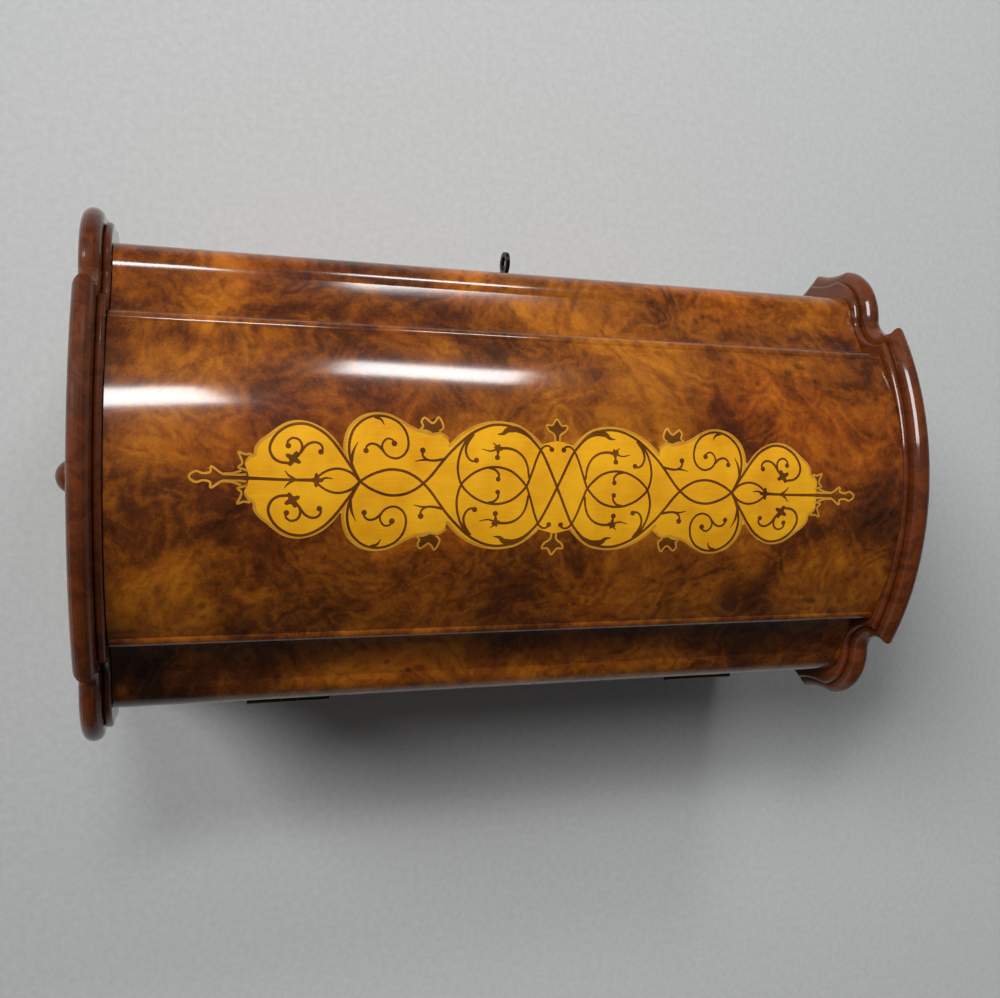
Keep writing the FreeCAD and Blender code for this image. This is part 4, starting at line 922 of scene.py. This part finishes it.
    def middle_flower(self) -> Path:
        """Dark flower over the neck of the cartouche."""
        return [(-1.6, 32), (-2.4, 36.4), (-6.4, 39.4), (-7.6, 43), (-3.4, 43.2), (0, 47.6), (3.4, 43.2),
                (7.6, 43), (6.4, 39.4), (2.4, 36.4), (1.6, 32)]

    def finial(self) -> list[Path]:
        """Pale strings along the finial at each end, one side of its middle line."""
        return [[(208, 2.2), (215, 1.7), (222, 2.1), (229, 6.6), (229.6, 3.2), (234, 2.2), (238, 3.4),
                 (241.5, 1.6), (242.2, 0)],
                [(211, 4.6), (216, 2.8), (222, 2.3)]]

    def field_loop(self) -> Path:
        """Whole edge of the pale field, once round."""
        quarter: Path = []
        for edge in (self.heart_edge, self.scroll_edge, self.circle_edge, self.neck_edge):
            quarter += smooth_path(edge)[:-1]
        quarter.append(self.neck_edge[-1])
        back = list(reversed(quarter))
        far_half = mirrored(back, -1, 1)[1:] + mirrored(quarter, -1, -1)[1:]
        return quarter + far_half + mirrored(back, 1, -1)[1:-1]

    def finished(self, name: str, bm: Drawing, layer: Layer, finish: Finish) -> Piece:
        """Lay a flat drawing on the dome, give it thickness and dress it.

        Args:
            name: the piece's name.
            bm: the drawing, in millimetres.
            layer: how high its top stands.
            finish: its finish.

        Returns:
            The finished piece.
        """
        for vertex in bm.verts:
            vertex.co = self.dome.on_pattern(vertex.co.x, vertex.co.y, layer.value)
        bmesh.ops.recalc_face_normals(bm, faces=bm.faces)
        for face in bm.faces:
            if face.normal.z < 0:
                face.normal_flip()
        piece = new_piece(name, bm)
        apply_modifier(piece, "SOLIDIFY", thickness=self.thickness, offset=-1.0)
        smooth(piece)
        hand_over(piece, "lid", finish)
        return piece

    def draw_stroke(self, bm: Drawing, stroke: Stroke, along: int, across: int) -> None:
        """Add one stroke, and the ball at its end, to a drawing."""
        pairs = [[bm.verts.new((a, b, 0)) for a, b in pair] for pair in stroke.outline(along, across)]
        for (left, right), (next_left, next_right) in zip(pairs, pairs[1:]):
            bm.faces.new((left, right, next_right, next_left))
        if stroke.ball:
            end = mirrored(stroke.points[-1:], along, across)[0]
            reach = stroke.ball * self.ball_growth
            turns = [2 * math.pi * place / self.ball_steps for place in range(self.ball_steps)]
            self.draw_ring(bm, [polar(end, reach, turn) for turn in turns])

    def draw_ring(self, bm: Drawing, ring: Iterable[Point]) -> None:
        """Add a closed flat shape to a drawing."""
        face = bm.faces.new([bm.verts.new((a, b, 0)) for a, b in ring])
        bmesh.ops.triangulate(bm, faces=[face])

    def bud_ring(self, middle: Point, radius: float, turn: float) -> Path:
        """Edge of a four-petal bud.

        Args:
            middle, radius: its middle and its size.
            turn: the angle of its first petal.

        Returns:
            Points once round it.
        """
        ring = []
        for place in range(self.bud_steps):
            angle = 2 * math.pi * place / self.bud_steps
            reach = radius * (self.petal_mean + self.petal_swing * math.cos(self.petals * angle))
            reach = max(reach, radius * self.petal_least)
            ring.append(polar(middle, reach, angle + turn))
        return ring

    def lay_field(self) -> None:
        """Gold field of the cartouche."""
        bm = bmesh.new()
        loop = self.field_loop()
        self.draw_ring(bm, loop)
        reach = max(b for _, b in loop)
        level = -reach
        while level < reach:
            level += self.slice_width
            everything = bm.verts[:] + bm.edges[:] + bm.faces[:]
            bmesh.ops.bisect_plane(bm, geom=everything, plane_co=(0, level, 0), plane_no=(0, 1, 0))
        piece = self.finished("inlay_field", bm, Layer.FIELD, SATINWOOD)
        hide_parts("lid_marquetry")

    def lay_edging(self) -> None:
        """Pale string round the field, the flowers and the finials."""
        bm = bmesh.new()
        width = (self.edge_width, self.edge_width)
        for along, across in QUARTERS:
            for edge in (self.heart_edge[3:], self.scroll_edge, self.circle_edge):
                inner = [(a, b - self.edge_width / 2) for a, b in edge]
                self.draw_stroke(bm, Stroke(inner, width), along, across)
            for line in self.flowers() + self.finial():
                self.draw_stroke(bm, Stroke(line, FINE), along, across)
        for across in (1, -1):
            self.draw_stroke(bm, Stroke(self.middle_flower(), FINE), 1, across)
        self.finished("inlay_edging", bm, Layer.EDGING, PALE_STRING)

    def lay_lines(self) -> None:
        """Dark straps, vines, buds and flowers."""
        bm = bmesh.new()
        for along, across in QUARTERS:
            for stroke in self.strokes():
                self.draw_stroke(bm, stroke, along, across)
            for bud in self.buds:
                self.draw_ring(bm, mirrored(self.bud_ring(*bud), along, across))
        for along in (1, -1):
            for stroke in self.axis_strokes():
                self.draw_stroke(bm, stroke, along, 1)
            self.draw_ring(bm, mirrored(self.bud_ring(*self.end_bud), along, 1))
        self.finished("inlay_lines", bm, Layer.LINES, SHADED_WOOD)

    def lay_flowers(self) -> None:
        """Dark flowers under their pale strings."""
        bm = bmesh.new()
        for along, across in QUARTERS:
            for flower in self.flowers():
                self.draw_ring(bm, mirrored(flower, along, across))
        for across in (1, -1):
            self.draw_ring(bm, mirrored(self.middle_flower(), 1, across))
        self.finished("inlay_flowers", bm, Layer.FIELD, SHADED_WOOD)

    def build(self) -> None:
        """Lay every sheet of the cartouche."""
        self.lay_field()
        self.lay_flowers()
        self.lay_edging()
        self.lay_lines()


@dataclass
class TunePins:
    """Pins of the tune cylinder, set in rows under the comb's teeth."""

    height: float = 0.8 * MM
    radius: float = 0.3 * MM
    taper: float = 0.6
    rows: int = 78
    steps: int = 180
    share: float = 0.13
    looseness: float = 0.4
    end_margin: float = 7.0 * MM
    sides: int = 5
    seed: int = 11

    def build(self) -> None:
        """Set the pins by a seeded draw, so that each run gives the same tune."""
        low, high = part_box("tune_cylinder")
        barrel = (high.z - low.z) / 2
        axis = Vector((0, (low.y + high.y) / 2, (low.z + high.z) / 2))
        bpy.ops.mesh.primitive_cone_add(vertices=self.sides, radius1=self.radius,
                                        radius2=self.radius * self.taper, depth=2 * self.height,
                                        end_fill_type="TRIFAN")
        pattern = bpy.context.active_object
        draw = random.Random(self.seed)
        bm = bmesh.new()
        first, last = low.x + self.end_margin, high.x - self.end_margin
        for row in range(self.rows):
            x = first + (last - first) * row / (self.rows - 1)
            for step in range(self.steps):
                if draw.random() > self.share:
                    continue
                angle = 2 * math.pi * (step + draw.random() * self.looseness) / self.steps
                count = len(bm.verts)
                bm.from_mesh(pattern.data)
                bm.verts.ensure_lookup_table()
                out = Vector((0, math.cos(angle), math.sin(angle)))
                turn = Vector((0, 0, 1)).rotation_difference(out).to_matrix().to_4x4()
                spot = Matrix.Translation(axis + Vector((x, 0, 0)) + out * barrel) @ turn
                bmesh.ops.transform(bm, matrix=spot, verts=bm.verts[count:])
        bpy.data.objects.remove(pattern, do_unlink=True)
        piece = new_piece("cylinder_pins", bm)
        hand_over(piece, "tune_cylinder", BLUED)


def hang_lamp(lamp: bpy.types.Light, place: Vector, facing: Vector) -> None:
    """Put a lamp in the scene.

    Args:
        lamp: the lamp.
        place: where it hangs.
        facing: the direction it shines in.
    """
    holder = bpy.data.objects.new(lamp.name, lamp)
    holder.location = place
    holder.rotation_euler = facing.to_track_quat("-Z", "Y").to_euler()
    bpy.context.scene.collection.objects.link(holder)


@dataclass(frozen=True)
class Panel:
    """Soft lamp over the box: its place, its width and height, and its power in watts."""

    name: str
    place: Triple
    size: Point
    power: float

    def hang(self, target: Vector) -> None:
        """Hang the lamp so that it faces a point."""
        lamp = bpy.data.lights.new(self.name, "AREA")
        lamp.shape = "RECTANGLE"
        lamp.size, lamp.size_y = self.size
        lamp.energy = self.power
        place = Vector(self.place)
        hang_lamp(lamp, place, target - place)


@dataclass
class Studio:
    """Floor, lamps and camera."""

    floor_colour: Colour = srgb(190, 192, 191)
    floor_size: float = 30.0
    floor_cells: int = 8
    floor_scale: float = 160.0
    floor_shade: float = 0.9
    floor_roughness: float = 0.9
    sky_colour: Colour = (0.97, 0.985, 1.0, 1.0)
    ceiling_strength: float = 0.12
    wall_strength: float = 0.42
    wall_top: float = 0.22
    back_share: float = 0.35
    back_from: float = -0.1
    back_to: float = 0.6
    key_strength: float = 2.5
    key_spread: float = 26.0
    key_from: Triple = (1.7, -1.1, 1.5)
    aim: Triple = (0.0, 0.0, 0.2)
    panels: tuple[Panel, ...] = (Panel("near_panel", (0.42, -0.88, 1.5), (0.5, 0.2), 9.5),
                                 Panel("far_panel", (-0.4, -1.68, 1.5), (0.5, 0.24), 11.0))
    focal_pixels: float = 969.955
    picture_width: float = 1000.0
    sensor: float = 36.0
    camera_place: Triple = (0.2248, -0.01785, 0.9287)
    camera_turns: Triple = (-0.044, -0.302, 0.004)

    def floor(self) -> None:
        """Plain pale floor with a faint fibre texture."""
        bpy.ops.mesh.primitive_grid_add(x_subdivisions=self.floor_cells, y_subdivisions=self.floor_cells,
                                        size=self.floor_size)
        floor = bpy.context.active_object
        floor.name = "floor"
        shader = Shader("floor")
        tone = shader.noise(shader.place(), self.floor_scale, 4.0, 0.7)
        darker = shaded(self.floor_colour, self.floor_shade)
        shader.finish("Base Color", shader.ramp(tone, [(0.35, darker), (0.65, self.floor_colour)]))
        shader.finish("Roughness", self.floor_roughness)
        floor.data.materials.append(shader.material)

    def fade(self, value: bpy.types.NodeSocket, limits: tuple[float, ...]) -> bpy.types.NodeSocket:
        """Smooth change of strength in the surround.

        Args:
            value: one coordinate of the direction looked in.
            limits: its values at the start and the end, and the strengths there.

        Returns:
            The strength.
        """
        made = value.id_data.nodes.new("ShaderNodeMapRange")
        made.interpolation_type = "SMOOTHSTEP"
        for place, limit in enumerate(limits):
            made.inputs[place + 1].default_value = limit
        value.id_data.links.new(value, made.inputs[0])
        return made.outputs[0]

    def surround(self) -> None:
        """Pale walls under a dim ceiling, and less light from the back."""
        world = bpy.data.worlds.new("surround")
        bpy.context.scene.world = world
        world.use_nodes = True
        tree = world.node_tree
        sky = tree.nodes["Background"]
        sky.inputs["Color"].default_value = self.sky_colour
        direction = tree.nodes.new("ShaderNodeTexCoord")
        parts = tree.nodes.new("ShaderNodeSeparateXYZ")
        tree.links.new(direction.outputs["Generated"], parts.inputs[0])
        walls = (0.0, self.wall_top, self.wall_strength, self.ceiling_strength)
        high = self.fade(parts.outputs["Z"], walls)
        deep = self.fade(parts.outputs["Y"], (self.back_from, self.back_to, 1.0, self.back_share))
        strength = tree.nodes.new("ShaderNodeMath")
        strength.operation = "MULTIPLY"
        tree.links.new(high, strength.inputs[0])
        tree.links.new(deep, strength.inputs[1])
        tree.links.new(strength.outputs[0], sky.inputs["Strength"])

    def key(self) -> None:
        """Broad soft key light from the knob end, even over the whole floor."""
        lamp = bpy.data.lights.new("key", "SUN")
        lamp.energy = self.key_strength
        lamp.angle = math.radians(self.key_spread)
        hang_lamp(lamp, Vector(), -Vector(self.key_from))

    def light(self) -> None:
        """Surround, a soft key at the knob end, and two narrow ceiling panels at the front."""
        self.surround()
        self.key()
        for panel in self.panels:
            panel.hang(Vector(self.aim))

    def camera(self) -> None:
        """Camera at the photograph's view."""
        data = bpy.data.cameras.new("camera")
        data.sensor_width = self.sensor
        data.lens = self.sensor * self.focal_pixels / self.picture_width
        camera = bpy.data.objects.new("camera", data)
        tilt, swing, roll = self.camera_turns
        turn = (Matrix.Rotation(math.pi, 3, "Z") @ Matrix.Rotation(tilt, 3, "X")
                @ Matrix.Rotation(swing, 3, "Y") @ Matrix.Rotation(roll, 3, "Z"))
        camera.matrix_world = Matrix.Translation(Vector(self.camera_place)) @ turn.to_4x4()
        bpy.context.scene.collection.objects.link(camera)
        bpy.context.scene.camera = camera

    def build(self) -> None:
        """Set up the whole studio."""
        self.floor()
        self.light()
        self.camera()
        bpy.context.scene.view_settings.view_transform = "Standard"


def dress_nodes() -> None:
    """Give each carried-over node the finish of its slot, or its own."""
    for name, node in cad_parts.items():
        slot = node.data.materials[0].name
        finish = NODE_FINISHES.get(name, SLOT_FINISHES[slot])
        node.data.materials[0] = finish.material()


def main() -> None:
    """Build the looks in order."""
    logging.basicConfig(level=logging.INFO, format="%(name)s: %(message)s")
    dress_nodes()
    dome = Dome()
    dome.veneer()
    dome.lip_beads()
    Cartouche(dome).build()
    TunePins().build()
    Studio().build()


if __name__ == "__main__":
    main()
